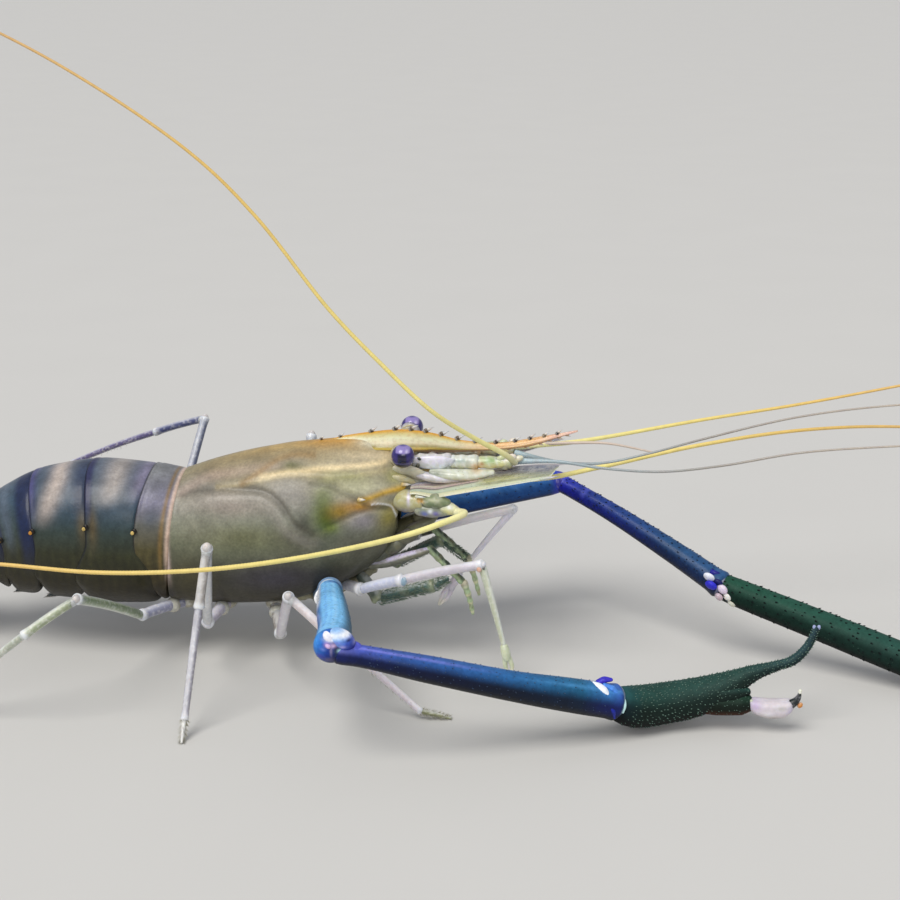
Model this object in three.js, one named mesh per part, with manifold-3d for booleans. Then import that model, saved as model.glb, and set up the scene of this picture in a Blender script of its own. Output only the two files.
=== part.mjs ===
// Giant river prawn, Macrobrachium rosenbergii: a still, life-size model of a blue-clawed male
// walking on the floor, with its right claw drawn across its side and its left one stretched
// ahead. Units are millimetres. +X points to the head, +Y to the animal's left and +Z up. The
// floor is Z = 0, and X = 0 is at the eyes until the whole animal is centred at the end.

import * as THREE from 'three';
import { mergeVertices } from 'three/addons/utils/BufferGeometryUtils.js';
import Module from 'manifold-3d';

const wasm = await Module();
wasm.setup();
const { Manifold, Mesh } = wasm;

// ---------------------------------------------------------------- driving dimensions

const RIGHT = -1;
const LEFT = 1;
const SIDE_NAMES = { [RIGHT]: 'right', [LEFT]: 'left' };

const GAP = 0.3;              // the thin cut between neighbouring pieces
const EYE_RADIUS = 3.7;
const EYE_HEIGHT = 69.2;
const EYE_OUT = 15;           // from the middle plane to the centre of an eye
const SCALE_LENGTH = 45;      // antennal scale
const SCALE_WIDTH = 12;
const PLATE = 1;              // thickness of the scales and of the tail fan
const FAN_PITCH = 46;         // the tail fan points back and this many degrees down
const FEELER_TIP = 0.3;       // radius at the tip of every feeler

// The rings of the trunk run from the crest to the lower margin. Each gives both points in the
// middle plane as [x, z], the half width, how far the ring bows back at mid height, and how
// much narrower its crest is than its flank.
const CARAPACE_RINGS = [
  { crest: [-70.5, 58.3], margin: [-74.5, 17.2], width: 19.6, bow: 0, ridge: 0.04 },
  { crest: [-60, 62], margin: [-62, 16.6], width: 20.9, bow: 0, ridge: 0.06 },
  { crest: [-48, 65.3], margin: [-49, 16.8], width: 21, bow: 0, ridge: 0.1 },
  { crest: [-36, 67.6], margin: [-37, 18], width: 20.4, bow: 0, ridge: 0.16 },
  { crest: [-25, 69.2], margin: [-26, 21.6], width: 19.2, bow: 0, ridge: 0.24 },
  { crest: [-15, 70.3], margin: [-15.5, 26.5], width: 17.4, bow: 0, ridge: 0.32 },
  { crest: [-8, 70.9], margin: [-7, 33], width: 15, bow: 0, ridge: 0.4 },
  { crest: [-3, 71.2], margin: [-3, 41], width: 12.2, bow: 0.5, ridge: 0.5 },
];
const TAIL_RINGS = [
  { crest: [-70.5, 57.8], margin: [-74.5, 17.6], width: 18.6, bow: 0, ridge: 0.02 },
  { crest: [-80.3, 59.4], margin: [-79, 16.8], width: 19, bow: 3.6, ridge: 0.02 },
  { crest: [-100.4, 60.5], margin: [-101, 16.4], width: 19.2, bow: -2.6, ridge: 0.02 },
  { crest: [-119.3, 56.6], margin: [-115, 17.2], width: 18, bow: -2.4, ridge: 0.06 },
  { crest: [-131.8, 49.8], margin: [-126, 18], width: 15.6, bow: -3.2, ridge: 0.06 },
  { crest: [-141.4, 42.4], margin: [-133, 20.6], width: 12.4, bow: -2, ridge: 0.08 },
  { crest: [-153, 30.4], margin: [-142.5, 15.6], width: 7.6, bow: 0, ridge: 0.1 },
];

// Where the swimming legs hang in the trough under the first five rings of the tail.
const TROUGH_TOP = 27;
const TROUGH_WIDTH = 12.4;
const SWIMMERETS = [
  { root: -75.6, size: 0.9 },
  { root: -87, size: 1 },
  { root: -104, size: 1 },
  { root: -116, size: 0.85 },
  { root: -127.6, size: 0.5 },
];

// Every jointed limb is a list of joints from the body outwards, each [x, y, z, radius].
const WALKING_LEGS = {
  leg_3_right: [[-42, -8, 17, 2.2], [-38, -22, 12.4, 1.75], [-31, -45, 35, 1.6],
    [-19.5, -48, 25.4, 1.35], [8, -51, 2.4, 0.95], [17, -50.5, 0.1, 0.7]],
  leg_4_right: [[-57, -8, 17, 2.2], [-60, -25.6, 17.2, 1.75], [-54, -47, 50.4, 1.55],
    [-56, -52, 34, 1.45], [-58.6, -65.5, 5, 1.05], [-58.6, -70.8, -0.4, 0.6]],
  leg_5_right: [[-70, -8, 17, 2.2], [-81.7, -22, 17.5, 1.7], [-90.2, -57, 37.7, 1.5],
    [-98.5, -64, 33.9, 1.35], [-132, -60.5, 4.6, 1], [-137.4, -60, -0.2, 0.6]],
  leg_3_left: [[-42, 8, 17, 2.2], [-39, 22, 20, 1.75], [-37.4, 45, 56, 1.6],
    [-35, 56, 42, 1.4], [-28, 66, 5, 1], [-26.8, 69.6, -0.5, 0.6]],
  leg_4_left: [[-57, 8, 17, 2.2], [-57, 22, 18, 1.75], [-53, 50, 46, 1.6],
    [-55, 60, 33, 1.4], [-58, 70, 5, 1], [-58.6, 73.6, -0.5, 0.6]],
  leg_5_left: [[-70, 8, 17, 2.2], [-83, 26, 23, 1.7], [-75.2, 50, 59.8, 1.45],
    [-93.6, 53, 53.6, 1.3], [-127, 61.6, 38.5, 1], [-136, 63.5, 31, 0.4]],
};
const SLENDER_CLAWS = {
  leg_1_right: [[-20, -6, 23, 2.1], [-14, -12, 24, 1.9], [-0.4, -18, 30, 1.8], [24.5, -25, 38.6, 1.5],
    [31.6, -28, 13.4, 1.2], [33.8, -29, 4.4, 0.45]],
  leg_1_left: [[-20, 6, 23, 2.1], [-10, 8.4, 28, 1.9], [2, 9, 35, 1.7], [33, 12, 43.2, 1.45],
    [15.8, 6.5, 22.5, 1.2], [9.4, 4, 12.6, 0.45]],
};
const MAXILLIPEDS = {
  maxilliped_right: [[-15, -5, 26, 2.2], [-8.8, -8.5, 19.5, 2.1], [8.6, -10, 25, 1.9],
    [13.2, -10, 27.6, 1.4], [21.1, -10, 16, 0.7]],
  maxilliped_left: [[-13, 5, 28, 2.2], [-4, 7.5, 26, 2.1], [10.3, 4.6, 35, 1.8],
    [18.4, 4, 29, 1.3], [22.3, 4, 16.6, 0.7]],
};

// The blue arms. Each length has its own path of [x, y, z, radius] and is a piece of its own.
const ARMS = {
  arm_right_ischium: [[-27, -7, 20, 3.1], [-24.5, -16, 23.5, 3.3], [-21.7, -25, 29, 3.6]],
  arm_right_merus: [[-21.7, -26, 29.4, 3.7], [-18, -46, 31.6, 4.6], [-14.8, -64, 33.4, 4.8],
    [-13.2, -80, 35.2, 4.8]],
  arm_right_carpus: [[-11.6, -80.4, 34.4, 3.2], [-5, -79, 32.8, 3.1], [12, -75.6, 28, 3.8],
    [36, -68, 19.8, 4.3], [52, -62.6, 14.9, 4.9], [64, -58, 11, 5]],
  arm_left_ischium: [[-24, 8, 22, 3.1], [-15, 14, 27.5, 3.3], [-6, 19, 36, 3.5]],
  arm_left_merus: [[-6, 19, 36, 3.4], [12, 24.6, 39.4, 3.7], [30, 30, 42.4, 4],
    [46.4, 35, 45, 4.3]],
  arm_left_carpus: [[46.6, 35, 45.2, 3.1], [52, 31.4, 43.4, 2.9], [66, 22, 38.4, 3.1],
    [86, 8.6, 29.9, 3.7], [98.6, 0, 24, 4.1]],
};
const RIGHT_PALM = [[64.4, -57.6, 10.6, 4.9], [70, -54.6, 8, 6], [78, -51, 7.4, 6],
  [88, -49.4, 9, 5.6], [96, -48.8, 12, 4.5], [103.6, -48.4, 16.4, 2.5], [110.6, -47.8, 18.9, 1.5],
  [115.6, -47.1, 20.6, 1.4], [119.6, -46.5, 25.2, 1.2], [121.6, -46, 30.4, 0.8]];
const RIGHT_FINGER = [[91, -50.2, 8, 2.8], [98, -50.6, 8.2, 3.1], [103, -51, 8.6, 2.9],
  [108.5, -51.8, 7.8, 3.1], [113, -52, 8.6, 2.5], [115.6, -52, 10.4, 1.2], [117, -52, 13.6, 0.7]];
const LEFT_PALM = [[98.2, 0.2, 23.8, 4], [104, -1.8, 22, 4.4], [122.5, -9, 17.4, 4.7],
  [151.7, -19.6, 9.6, 5], [168, -25.4, 5, 4.7], [182, -30.4, 2.8, 3.1], [200, -36.4, 2, 2.5],
  [214, -42.4, 1.6, 1.9], [220, -46.6, 2, 0.9]];
const LEFT_FINGER = [[168, -20, 8, 2.4], [176, -21, 7.8, 2.8], [192, -28.2, 6, 2.4],
  [206, -35, 4.6, 1.9], [214, -40.6, 5.4, 0.9]];

// Feelers, from the base to the tip as [x, y, z].
const FEELERS = {
  antennule_right: { radius: 1.05, parts: 2, path: [[33.6, -8, 65.6], [31, -13, 69.6],
    [21.6, -21, 77.4], [9.5, -30, 88.4], [-4.9, -31, 102.6], [-19, -31, 117.7], [-39.5, -31, 144.5],
    [-57.2, -31, 161.9], [-92.2, -31, 185.3], [-124, -31, 201], [-158, -30, 214]] },
  antennule_left: { radius: 1.05, parts: 2, path: [[33.6, 8, 65.4], [41, 7.6, 66.4], [49, 9, 66.8],
    [60, 14, 67.1], [92, 26, 70], [124.6, 34, 73.7], [156.6, 38, 79.4], [196, 40, 88], [232, 38, 98]] },
  antenna_right: { radius: 1.1, parts: 2, path: [[16, -17, 52.4], [19, -22, 53.8],
    [12, -29, 52.8], [0.8, -34, 50.4], [-26.7, -48, 48.6], [-53.9, -57, 47.7], [-81.4, -62, 48.2],
    [-110, -64, 50.8], [-150, -65, 53], [-196, -62, 48], [-236, -56, 37]] },
  antenna_left: { radius: 1.1, parts: 2, path: [[16, 17, 52.4], [28, 17.6, 51.2], [42.7, 20, 51.2],
    [60.4, 26, 53.3], [93.4, 36, 58.4], [127.2, 44, 61.8], [161, 50, 61.9], [204, 53, 58],
    [246, 52, 50]] },
};
const THIN_FEELERS = {
  antennule_thread_right: { radius: 0.45, parts: 1, path: [[33.6, -6, 65.4], [47.4, -10, 66.8],
    [59.6, -12, 65.8], [77.4, -14, 65.7], [95, -16, 68.6], [118, -18, 73.9], [146.4, -20, 77.3],
    [182, -22, 80]] },
  antennule_thread_left: { radius: 0.45, parts: 1, path: [[33.6, 6, 64], [47.4, 3, 62.4],
    [60, 3.4, 62.2], [75.2, 4, 65.6], [90.4, 6, 69.6], [120.3, 7, 77.4], [150.4, 8, 81.6],
    [184, 9, 83]] },
};

const COLOURS = {
  shell: '#9c9678', crest: '#c9a052', underside: '#8f927c', tail: '#5b6f78', fan: '#4d6a80',
  eye: '#2b2350', stalk: '#b9b58f', peduncle: '#cfc9a4', scale: '#b8bca6', feeler: '#e3c95c',
  thread: '#9aa0a4', leg: '#c9ccc4', mouth: '#5f7257', arm: '#234f92', claw: '#1d4b49',
  finger: '#cfc6da',
};

// ---------------------------------------------------------------- ways of making a form

function mix(a, b, share) {
  return a + (b - a) * share;
}

function vector([x, y, z]) {
  return new THREE.Vector3(x, y, z);
}

// The volume inside a closed triangle mesh, negative where its faces point inwards.
function volumeOf(vertices, triangles) {
  const corner = (index) => new THREE.Vector3().fromArray(vertices, 3 * index);
  let sum = 0;
  for (let i = 0; i < triangles.length; i += 3) {
    const [a, b, c] = [corner(triangles[i]), corner(triangles[i + 1]), corner(triangles[i + 2])];
    sum += a.dot(b.cross(c)) / 6;
  }
  return sum;
}

// A closed solid from a closed three.js geometry, with its faces turned outwards.
function solid(geometry) {
  const bare = new THREE.BufferGeometry();
  bare.setAttribute('position', geometry.getAttribute('position'));
  bare.setIndex(geometry.index);
  const welded = mergeVertices(bare, 1e-4);
  const vertices = new Float32Array(welded.getAttribute('position').array);
  const triangles = new Uint32Array(welded.index.array);
  if (volumeOf(vertices, triangles) < 0) {
    triangles.reverse();
  }
  return new Manifold(new Mesh({ numProp: 3, vertProperties: vertices, triVerts: triangles }));
}

// A flat outline carried through evenly numbered stations: place(u, v, t) says where the
// outline's point (u, v) lies at the station t, which runs from 0 to 1.
function sweep(outline, steps, place) {
  const geometry = new THREE.ExtrudeGeometry(outline, { depth: 1, steps, bevelEnabled: false });
  const position = geometry.getAttribute('position');
  for (let i = 0; i < position.count; i += 1) {
    const point = place(position.getX(i), position.getY(i), position.getZ(i));
    position.setXYZ(i, point.x, point.y, point.z);
  }
  return solid(geometry);
}

// A round outline with straight sides. Below its middle it is squarer by the power `square`.
function round(sides, square = 1) {
  const corners = [];
  for (let i = 0; i < sides; i += 1) {
    const angle = (2 * Math.PI * (i + 0.5)) / sides;
    const across = Math.sin(angle);
    const up = Math.cos(angle);
    const power = up < 0 ? square : 1;
    corners.push(new THREE.Vector2(
      Math.sign(across) * Math.abs(across) ** power,
      Math.sign(up) * Math.abs(up) ** power,
    ));
  }
  return new THREE.Shape(corners);
}

// A loft through stations, each with a centre, a heading, a side vector and two half widths.
function loft(stations, sides) {
  const last = stations.length - 1;
  return sweep(round(sides), last, (u, v, t) => {
    const station = stations[Math.round(t * last)];
    const up = new THREE.Vector3().crossVectors(station.heading, station.side);
    const offset = station.side.clone().multiplyScalar(u * station.wide);
    offset.addScaledVector(up, v * station.high);
    return offset.add(station.centre);
  });
}

// A vector across the heading, level where it can be.
function sideOf(heading) {
  const up = Math.abs(heading.z) > 0.95 ? new THREE.Vector3(1, 0, 0) : new THREE.Vector3(0, 0, 1);
  return new THREE.Vector3().crossVectors(up, heading).normalize();
}

// A limb with sharp joints: slim between them and a little thicker at each knuckle.
function limb(joints, grow = 0, sides = 6) {
  const slim = 0.88;
  const knuckle = 1.15;
  const points = joints.map(vector);
  const headings = points.slice(1).map((point, i) => point.clone().sub(points[i]).normalize());
  const side = sideOf(headings[0]);
  const stations = [];
  const station = (centre, heading, radius) => {
    const size = radius + grow;
    stations.push({ centre, heading, side: side.clone(), wide: size, high: size });
  };
  station(points[0].clone().addScaledVector(headings[0], -grow), headings[0], joints[0][3]);
  for (let i = 1; i < headings.length; i += 1) {
    const [before, after] = [headings[i - 1], headings[i]];
    const radius = joints[i][3];
    const bend = before.angleTo(after) / 2;
    const reach = (radius + grow) * (0.6 + 1.1 * Math.tan(bend));
    const between = before.clone().add(after).normalize();
    station(points[i].clone().addScaledVector(before, -reach), before, radius * slim);
    side.applyQuaternion(new THREE.Quaternion().setFromUnitVectors(before, between));
    station(points[i], between, radius * knuckle);
    side.applyQuaternion(new THREE.Quaternion().setFromUnitVectors(between, after));
    station(points[i].clone().addScaledVector(after, reach), after, radius * slim);
  }
  const end = headings.length;
  station(points[end].clone().addScaledVector(headings[end - 1], grow), headings[end - 1], joints[end][3]);
  return loft(stations, sides);
}

// A smooth tube between two shares of a curve's length. radiusAt(share) gives its radius there,
// and `flat` is its height as a share of its width.
function tube(curve, radiusAt, steps, sides, grow = 0, from = 0, to = 1, flat = 1) {
  const stations = [];
  let heading = curve.getTangentAt(from);
  const side = sideOf(heading);
  for (let i = 0; i <= steps; i += 1) {
    const share = mix(from, to, i / steps);
    const next = curve.getTangentAt(share);
    side.applyQuaternion(new THREE.Quaternion().setFromUnitVectors(heading, next));
    heading = next;
    const centre = curve.getPointAt(share);
    if (i === 0) {
      centre.addScaledVector(heading, -grow);
    } else if (i === steps) {
      centre.addScaledVector(heading, grow);
    }
    const radius = radiusAt(share) + grow;
    stations.push({ centre, heading, side: side.clone(), wide: radius, high: radius * flat });
  }
  return loft(stations, sides);
}

// One length of an arm or claw: a tube whose radius follows its path's points, with both ends
// rounded off.
function armLength(path, steps, grow = 0) {
  const curve = new THREE.CatmullRomCurve3(path.map(vector), false, 'centripetal');
  const radii = new THREE.SplineCurve(path.map((point, i) => (
    new THREE.Vector2(i / (path.length - 1), point[3]))));
  const shares = path.map((point, i) => shareOf(curve, i / (path.length - 1)));
  const radiusAt = (share) => {
    let k = 0;
    while (k < shares.length - 2 && share > shares[k + 1]) {
      k += 1;
    }
    const within = (share - shares[k]) / (shares[k + 1] - shares[k]);
    const radius = radii.getPoint((k + within) / (shares.length - 1)).y;
    const end = Math.min(share, 1 - share);
    return radius * (end < 0.001 ? 0.7 : 1);
  };
  return tube(curve, radiusAt, steps, 8, grow);
}

// How much of a curve's length lies before its own parameter t.
function shareOf(curve, t) {
  const lengths = curve.getLengths(200);
  return lengths[Math.round(t * 200)] / lengths[200];
}

// A ring of the trunk: where the outline's point (u, v) lies on it.
function onRing(ring, u, v, grow) {
  const tall = Math.hypot(ring.crest[0] - ring.margin[0], ring.crest[1] - ring.margin[1]);
  const height = (v + 1) / 2 + (v * grow) / tall;
  const bow = ring.bow * 4 * height * (1 - height);
  const x = mix(ring.margin[0], ring.crest[0], height) - bow;
  const z = mix(ring.margin[1], ring.crest[1], height);
  const narrow = 1 - ring.ridge * Math.max(v, 0) ** 2;
  return new THREE.Vector3(x, u * (ring.width * narrow + grow), z);
}

function aboveFloor(body) {
  const slab = new THREE.BoxGeometry(800, 400, 40);
  slab.translate(0, 0, -20);
  return body.subtract(solid(slab));
}

// The piece that is left of a body when its neighbours, each grown by the gap, are cut away.
function fit(body, ...neighbours) {
  let left = body;
  for (const neighbour of neighbours) {
    left = left.subtract(neighbour);
  }
  const pieces = left.simplify(0.03).decompose();
  return pieces.reduce((best, piece) => (piece.volume() > best.volume() ? piece : best));
}

// ---------------------------------------------------------------- trunk

function carapace(grow = 0) {
  const rings = CARAPACE_RINGS;
  const last = rings.length - 1;
  return sweep(round(18, 0.7), last, (u, v, t) => {
    const index = Math.round(t * last);
    const point = onRing(rings[index], u, v, grow);
    point.x += index === 0 ? -grow : 0;
    point.x += index === last ? grow : 0;
    return point;
  });
}

// The plates between the leg bases, in the hollow between the lower margins of the carapace.
function sternum(grow = 0) {
  return sweep(round(10, 0.8), 4, (u, v, t) => {
    const x = mix(-72 - grow, -10 + grow, t);
    const rise = Math.max(0, t - 0.6) ** 2;
    return new THREE.Vector3(x, u * (mix(8.5, 5, t) + grow), 18.6 + rise * 62 + v * (3.2 + grow));
  });
}

// The front of the head, between the carapace and the bases of eyes and feelers.
function head(grow = 0) {
  return sweep(round(10), 3, (u, v, t) => {
    const x = mix(-6 - grow, 6 + grow, t);
    const swell = 1 - 0.35 * t * t;
    return new THREE.Vector3(x, u * (10.5 * swell + grow), 57 + v * (9.6 * swell + grow));
  });
}

function mouthparts(grow = 0) {
  return sweep(round(10), 4, (u, v, t) => {
    const x = mix(-16 - grow, 10 + grow, t);
    const bulge = Math.sin(Math.PI * mix(0.22, 0.9, t));
    const z = mix(29, 45.6, t) + v * (4.6 * bulge + 0.8 + grow);
    return new THREE.Vector3(x, u * (6.4 * bulge + 1.2 + grow), z);
  });
}

// The toothed crest of the carapace, running forward as the rostrum.
function rostrum(grow = 0) {
  const upper = new THREE.SplineCurve([[-21, 70.5], [-11, 72.1], [-2, 73.2], [7, 72.2],
    [17, 69.9], [29, 69.4], [41, 71.6], [52.4, 73.8]].map(([x, z]) => new THREE.Vector2(x, z)));
  const lower = new THREE.SplineCurve([[52.4, 73], [46.5, 71.2], [38, 68.3], [28, 66.9],
    [13, 65.8], [0, 65.6]].map(([x, z]) => new THREE.Vector2(x, z)));
  const corners = [
    ...toothed(upper, 12, 1.3, 1.05),
    ...toothed(lower, 9, -1, 0.62),
    new THREE.Vector2(-21, 66),
  ];
  const halfWidth = (x) => mix(2.4, 0.75, THREE.MathUtils.clamp((x + 6) / 58, 0, 1));
  return sweep(new THREE.Shape(corners), 1, (x, z, t) => (
    new THREE.Vector3(x, (2 * t - 1) * (halfWidth(x) + grow), z)));
}

// Points of a curve with saw teeth along it, closer together towards the rostrum's tip. `reach`
// is the share of the curve that carries teeth.
function toothed(curve, count, height, reach) {
  const points = [];
  for (let i = 0; i < count; i += 1) {
    const start = Math.min((i / count) * reach, 1);
    const end = Math.min(((i + 0.62) / count) * reach, 1);
    const from = curve.getPointAt(start);
    const to = curve.getPointAt(end);
    const forward = height > 0 ? 0.75 : 0.25;
    const tip = from.clone().lerp(to, forward);
    tip.y += height;
    points.push(from, tip, to);
  }
  points.push(curve.getPointAt(1));
  return points;
}

// One ring of the tail. Its back edge stands a little proud of the next ring's front edge.
function tailRing(index, grow = 0) {
  const [front, back] = [TAIL_RINGS[index], TAIL_RINGS[index + 1]];
  return sweep(round(16, 0.7), 2, (u, v, t) => {
    const lip = mix(-0.7, 0.3, t) + grow;
    const before = onRing(front, u, v, lip);
    const after = onRing(back, u, v, lip);
    const length = before.distanceTo(after);
    const trim = GAP / 2 - grow;
    const share = mix(trim, length - trim, t) / length;
    const point = before.lerp(after, share);
    const swell = 1 + 0.02 * Math.sin(Math.PI * t);
    return new THREE.Vector3(point.x, point.y * swell, point.z);
  });
}

// The trough along the underside of the tail, between its side flaps.
function trough() {
  return sweep(round(10), 3, (u, v, t) => {
    const width = TROUGH_WIDTH * (1 - 0.32 * t * t);
    return new THREE.Vector3(mix(-72, -133, t), u * width, 15 + v * (TROUGH_TOP - 15 - 3 * t));
  });
}

// A pair of paddles folded back under a ring of the tail.
function swimmerets({ root, size }) {
  const pair = [RIGHT, LEFT].map((side) => {
    const points = [[root, side * 5.6, 27.4], [root - 2.6 * size, side * 5.8, 27.4 - 4.4 * size],
      [root - 8.4 * size, side * 5.6, 27.4 - 9.4 * size]];
    const curve = new THREE.CatmullRomCurve3(points.map(vector));
    const radiusAt = (share) => size * mix(3.6, 2.2, share * share);
    return tube(curve, radiusAt, 2, 6, 0, 0, 1, 0.35);
  });
  return pair[0].add(pair[1]);
}

// ---------------------------------------------------------------- tail fan

const FAN_ROOT = [-147, 0, 23];

// Carries a flat piece that points along -X onto the line of the fan.
function ontoFan(body, yaw, roll, lift) {
  const matrix = new THREE.Matrix4().makeTranslation(...FAN_ROOT);
  matrix.multiply(new THREE.Matrix4().makeRotationY(THREE.MathUtils.degToRad(-FAN_PITCH)));
  matrix.multiply(new THREE.Matrix4().makeTranslation(0, 0, lift));
  matrix.multiply(new THREE.Matrix4().makeRotationZ(THREE.MathUtils.degToRad(yaw)));
  matrix.multiply(new THREE.Matrix4().makeRotationX(THREE.MathUtils.degToRad(roll)));
  return body.transform(matrix.elements);
}

function telson(grow = 0) {
  const body = sweep(round(8), 4, (u, v, t) => {
    const width = mix(6.2, 1.5, t ** 1.2) + grow;
    const height = mix(3.4, 1, t) + grow;
    return new THREE.Vector3(mix(3 + grow, -30 - grow, t), u * width, v * height);
  });
  return ontoFan(body, 0, 0, 3.4);
}

// A blade of the fan: an oval plate on a short stem.
function fanBlade(side, yaw, roll, lift, length, width, grow = 0) {
  const body = sweep(round(10), 5, (u, v, t) => {
    const x = mix(1, -length, t);
    const oval = Math.sin(Math.PI * mix(0.1, 0.9, t ** 0.8)) ** 0.7;
    const half = (PLATE / 2) * mix(1.6, 0.7, t);
    return new THREE.Vector3(x, side * 3.6 + u * (width * oval + grow), v * (half + grow));
  });
  return ontoFan(body, side * yaw, side * roll, lift);
}

const innerBlade = (side, grow) => fanBlade(side, -13, 6, -0.6, 33.6, 4.6, grow);
const outerBlade = (side, grow) => fanBlade(side, -30, 14, -3.2, 35, 5.6, grow);

// ---------------------------------------------------------------- eyes, feelers and scales

function eye(side, grow = 0) {
  const ball = new THREE.SphereGeometry(EYE_RADIUS + grow, 12, 6);
  ball.translate(0, side * EYE_OUT, EYE_HEIGHT);
  return solid(ball);
}

function eyeStalk(side, grow = 0) {
  const joints = [[-1.5, side * 3, 64.6], [-1, side * 9, 67.4], [-0.2, side * 14, 69.1]];
  const curve = new THREE.CatmullRomCurve3(joints.map(vector));
  return tube(curve, (share) => mix(2, 3, share), 2, 7, grow);
}

// The three stout joints at the base of a first feeler, hollowed beside the eye.
function antennulePeduncle(side, grow = 0) {
  const joints = [[3, side * 5.6, 64.4, 3.4], [16.5, side * 6.8, 65, 2.9], [24.5, side * 7.4, 65.3, 2.5],
    [32.4, side * 7.6, 65.2, 2]];
  return limb(joints, grow, 8);
}

function antennaPeduncle(side, grow = 0) {
  const joints = [[-1, side * 10, 53.6, 3.4], [4.4, side * 15, 52.6, 3.1], [10.6, side * 16, 51.8, 3],
    [17.4, side * 16.6, 52.2, 1.7]];
  return limb(joints, grow, 8);
}

// The broad thin scale over the base of a second feeler: a straight outer edge that ends in a
// tooth, and a rounded inner edge.
function antennalScale(side) {
  const outline = new THREE.Shape();
  outline.moveTo(0, 1.5);
  outline.lineTo(0, -1.5);
  outline.lineTo(SCALE_LENGTH - 4, -2);
  outline.lineTo(SCALE_LENGTH - 4.6, 0.6);
  outline.quadraticCurveTo(SCALE_LENGTH + 2, SCALE_WIDTH * 0.5, SCALE_LENGTH - 5, SCALE_WIDTH - 3);
  outline.quadraticCurveTo(SCALE_LENGTH * 0.5, SCALE_WIDTH + 1, 5, SCALE_WIDTH * 0.5);
  const slope = 0.235;
  return sweep(outline, 1, (along, across, t) => {
    const y = side * (15.4 + along * 0.07 - across);
    const z = 55.2 + along * slope + across * 0.1 + (t - 0.5) * PLATE;
    return new THREE.Vector3(3 + along, y, z);
  });
}

// A feeler cut into lengths: the piece number `part` of `parts`.
function feeler({ path, radius, parts }, part, grow = 0) {
  const curve = new THREE.CatmullRomCurve3(path.map(vector), false, 'centripetal');
  const cut = GAP / 2 / curve.getLength();
  const from = part === 0 ? 0 : part / parts + cut;
  const to = part === parts - 1 ? 1 : (part + 1) / parts - cut;
  const radiusAt = (share) => mix(radius, FEELER_TIP, share ** 0.8);
  return tube(curve, radiusAt, 10, 6, grow, from, to);
}

// The short side branch of a first feeler, which leaves it near the base.
function sideBranch(side) {
  const points = [[40, side * 7.8, 66.6], [50, side * 7.2, 67.4], [62, side * 7.6, 67.4],
    [76, side * 8, 64.8]];
  return tube(new THREE.CatmullRomCurve3(points.map(vector)), (t) => mix(0.6, 0.3, t), 6, 6);
}

// ---------------------------------------------------------------- the whole animal

const prawn = new THREE.Group();

function add(name, body, colour, roughness = 0.4) {
  const mesh = body.getMesh();
  const geometry = new THREE.BufferGeometry();
  geometry.setAttribute('position', new THREE.BufferAttribute(mesh.vertProperties, 3));
  geometry.setIndex(new THREE.BufferAttribute(mesh.triVerts, 1));
  const material = new THREE.MeshStandardMaterial({ color: COLOURS[colour], roughness, metalness: 0 });
  const part = new THREE.Mesh(geometry, material);
  part.name = name;
  prawn.add(part);
}

const aroundSternum = sternum(GAP);
const aroundCarapace = carapace(GAP);
const aroundRostrum = rostrum(GAP);
const aroundHead = head(GAP);
const aroundMouth = mouthparts(GAP);

add('carapace', fit(carapace(), aroundSternum), 'shell');
add('sternum', fit(sternum()), 'underside', 0.6);
add('rostrum', fit(rostrum(), aroundCarapace), 'crest');
add('head', fit(head(), aroundCarapace, aroundRostrum), 'stalk');
add('mouthparts', fit(mouthparts(), aroundCarapace, aroundSternum, aroundHead), 'mouth', 0.6);

for (let i = 0; i < TAIL_RINGS.length - 1; i += 1) {
  let ring = tailRing(i);
  if (i < SWIMMERETS.length) {
    ring = ring.subtract(trough()).add(swimmerets(SWIMMERETS[i]));
  }
  const before = i > 0 ? tailRing(i - 1, GAP) : aroundCarapace;
  add(`tail_ring_${i + 1}`, fit(ring, aroundSternum, before), 'tail');
}

const lastRing = tailRing(TAIL_RINGS.length - 2, GAP);
add('telson', aboveFloor(fit(telson(), lastRing)), 'fan');
for (const side of [RIGHT, LEFT]) {
  const name = SIDE_NAMES[side];
  const inner = fit(innerBlade(side, 0), lastRing, telson(GAP));
  const outer = fit(outerBlade(side, 0), lastRing, telson(GAP), innerBlade(side, GAP));
  add(`tail_fan_inner_${name}`, aboveFloor(inner), 'fan');
  add(`tail_fan_outer_${name}`, aboveFloor(outer), 'fan');
}

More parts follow.
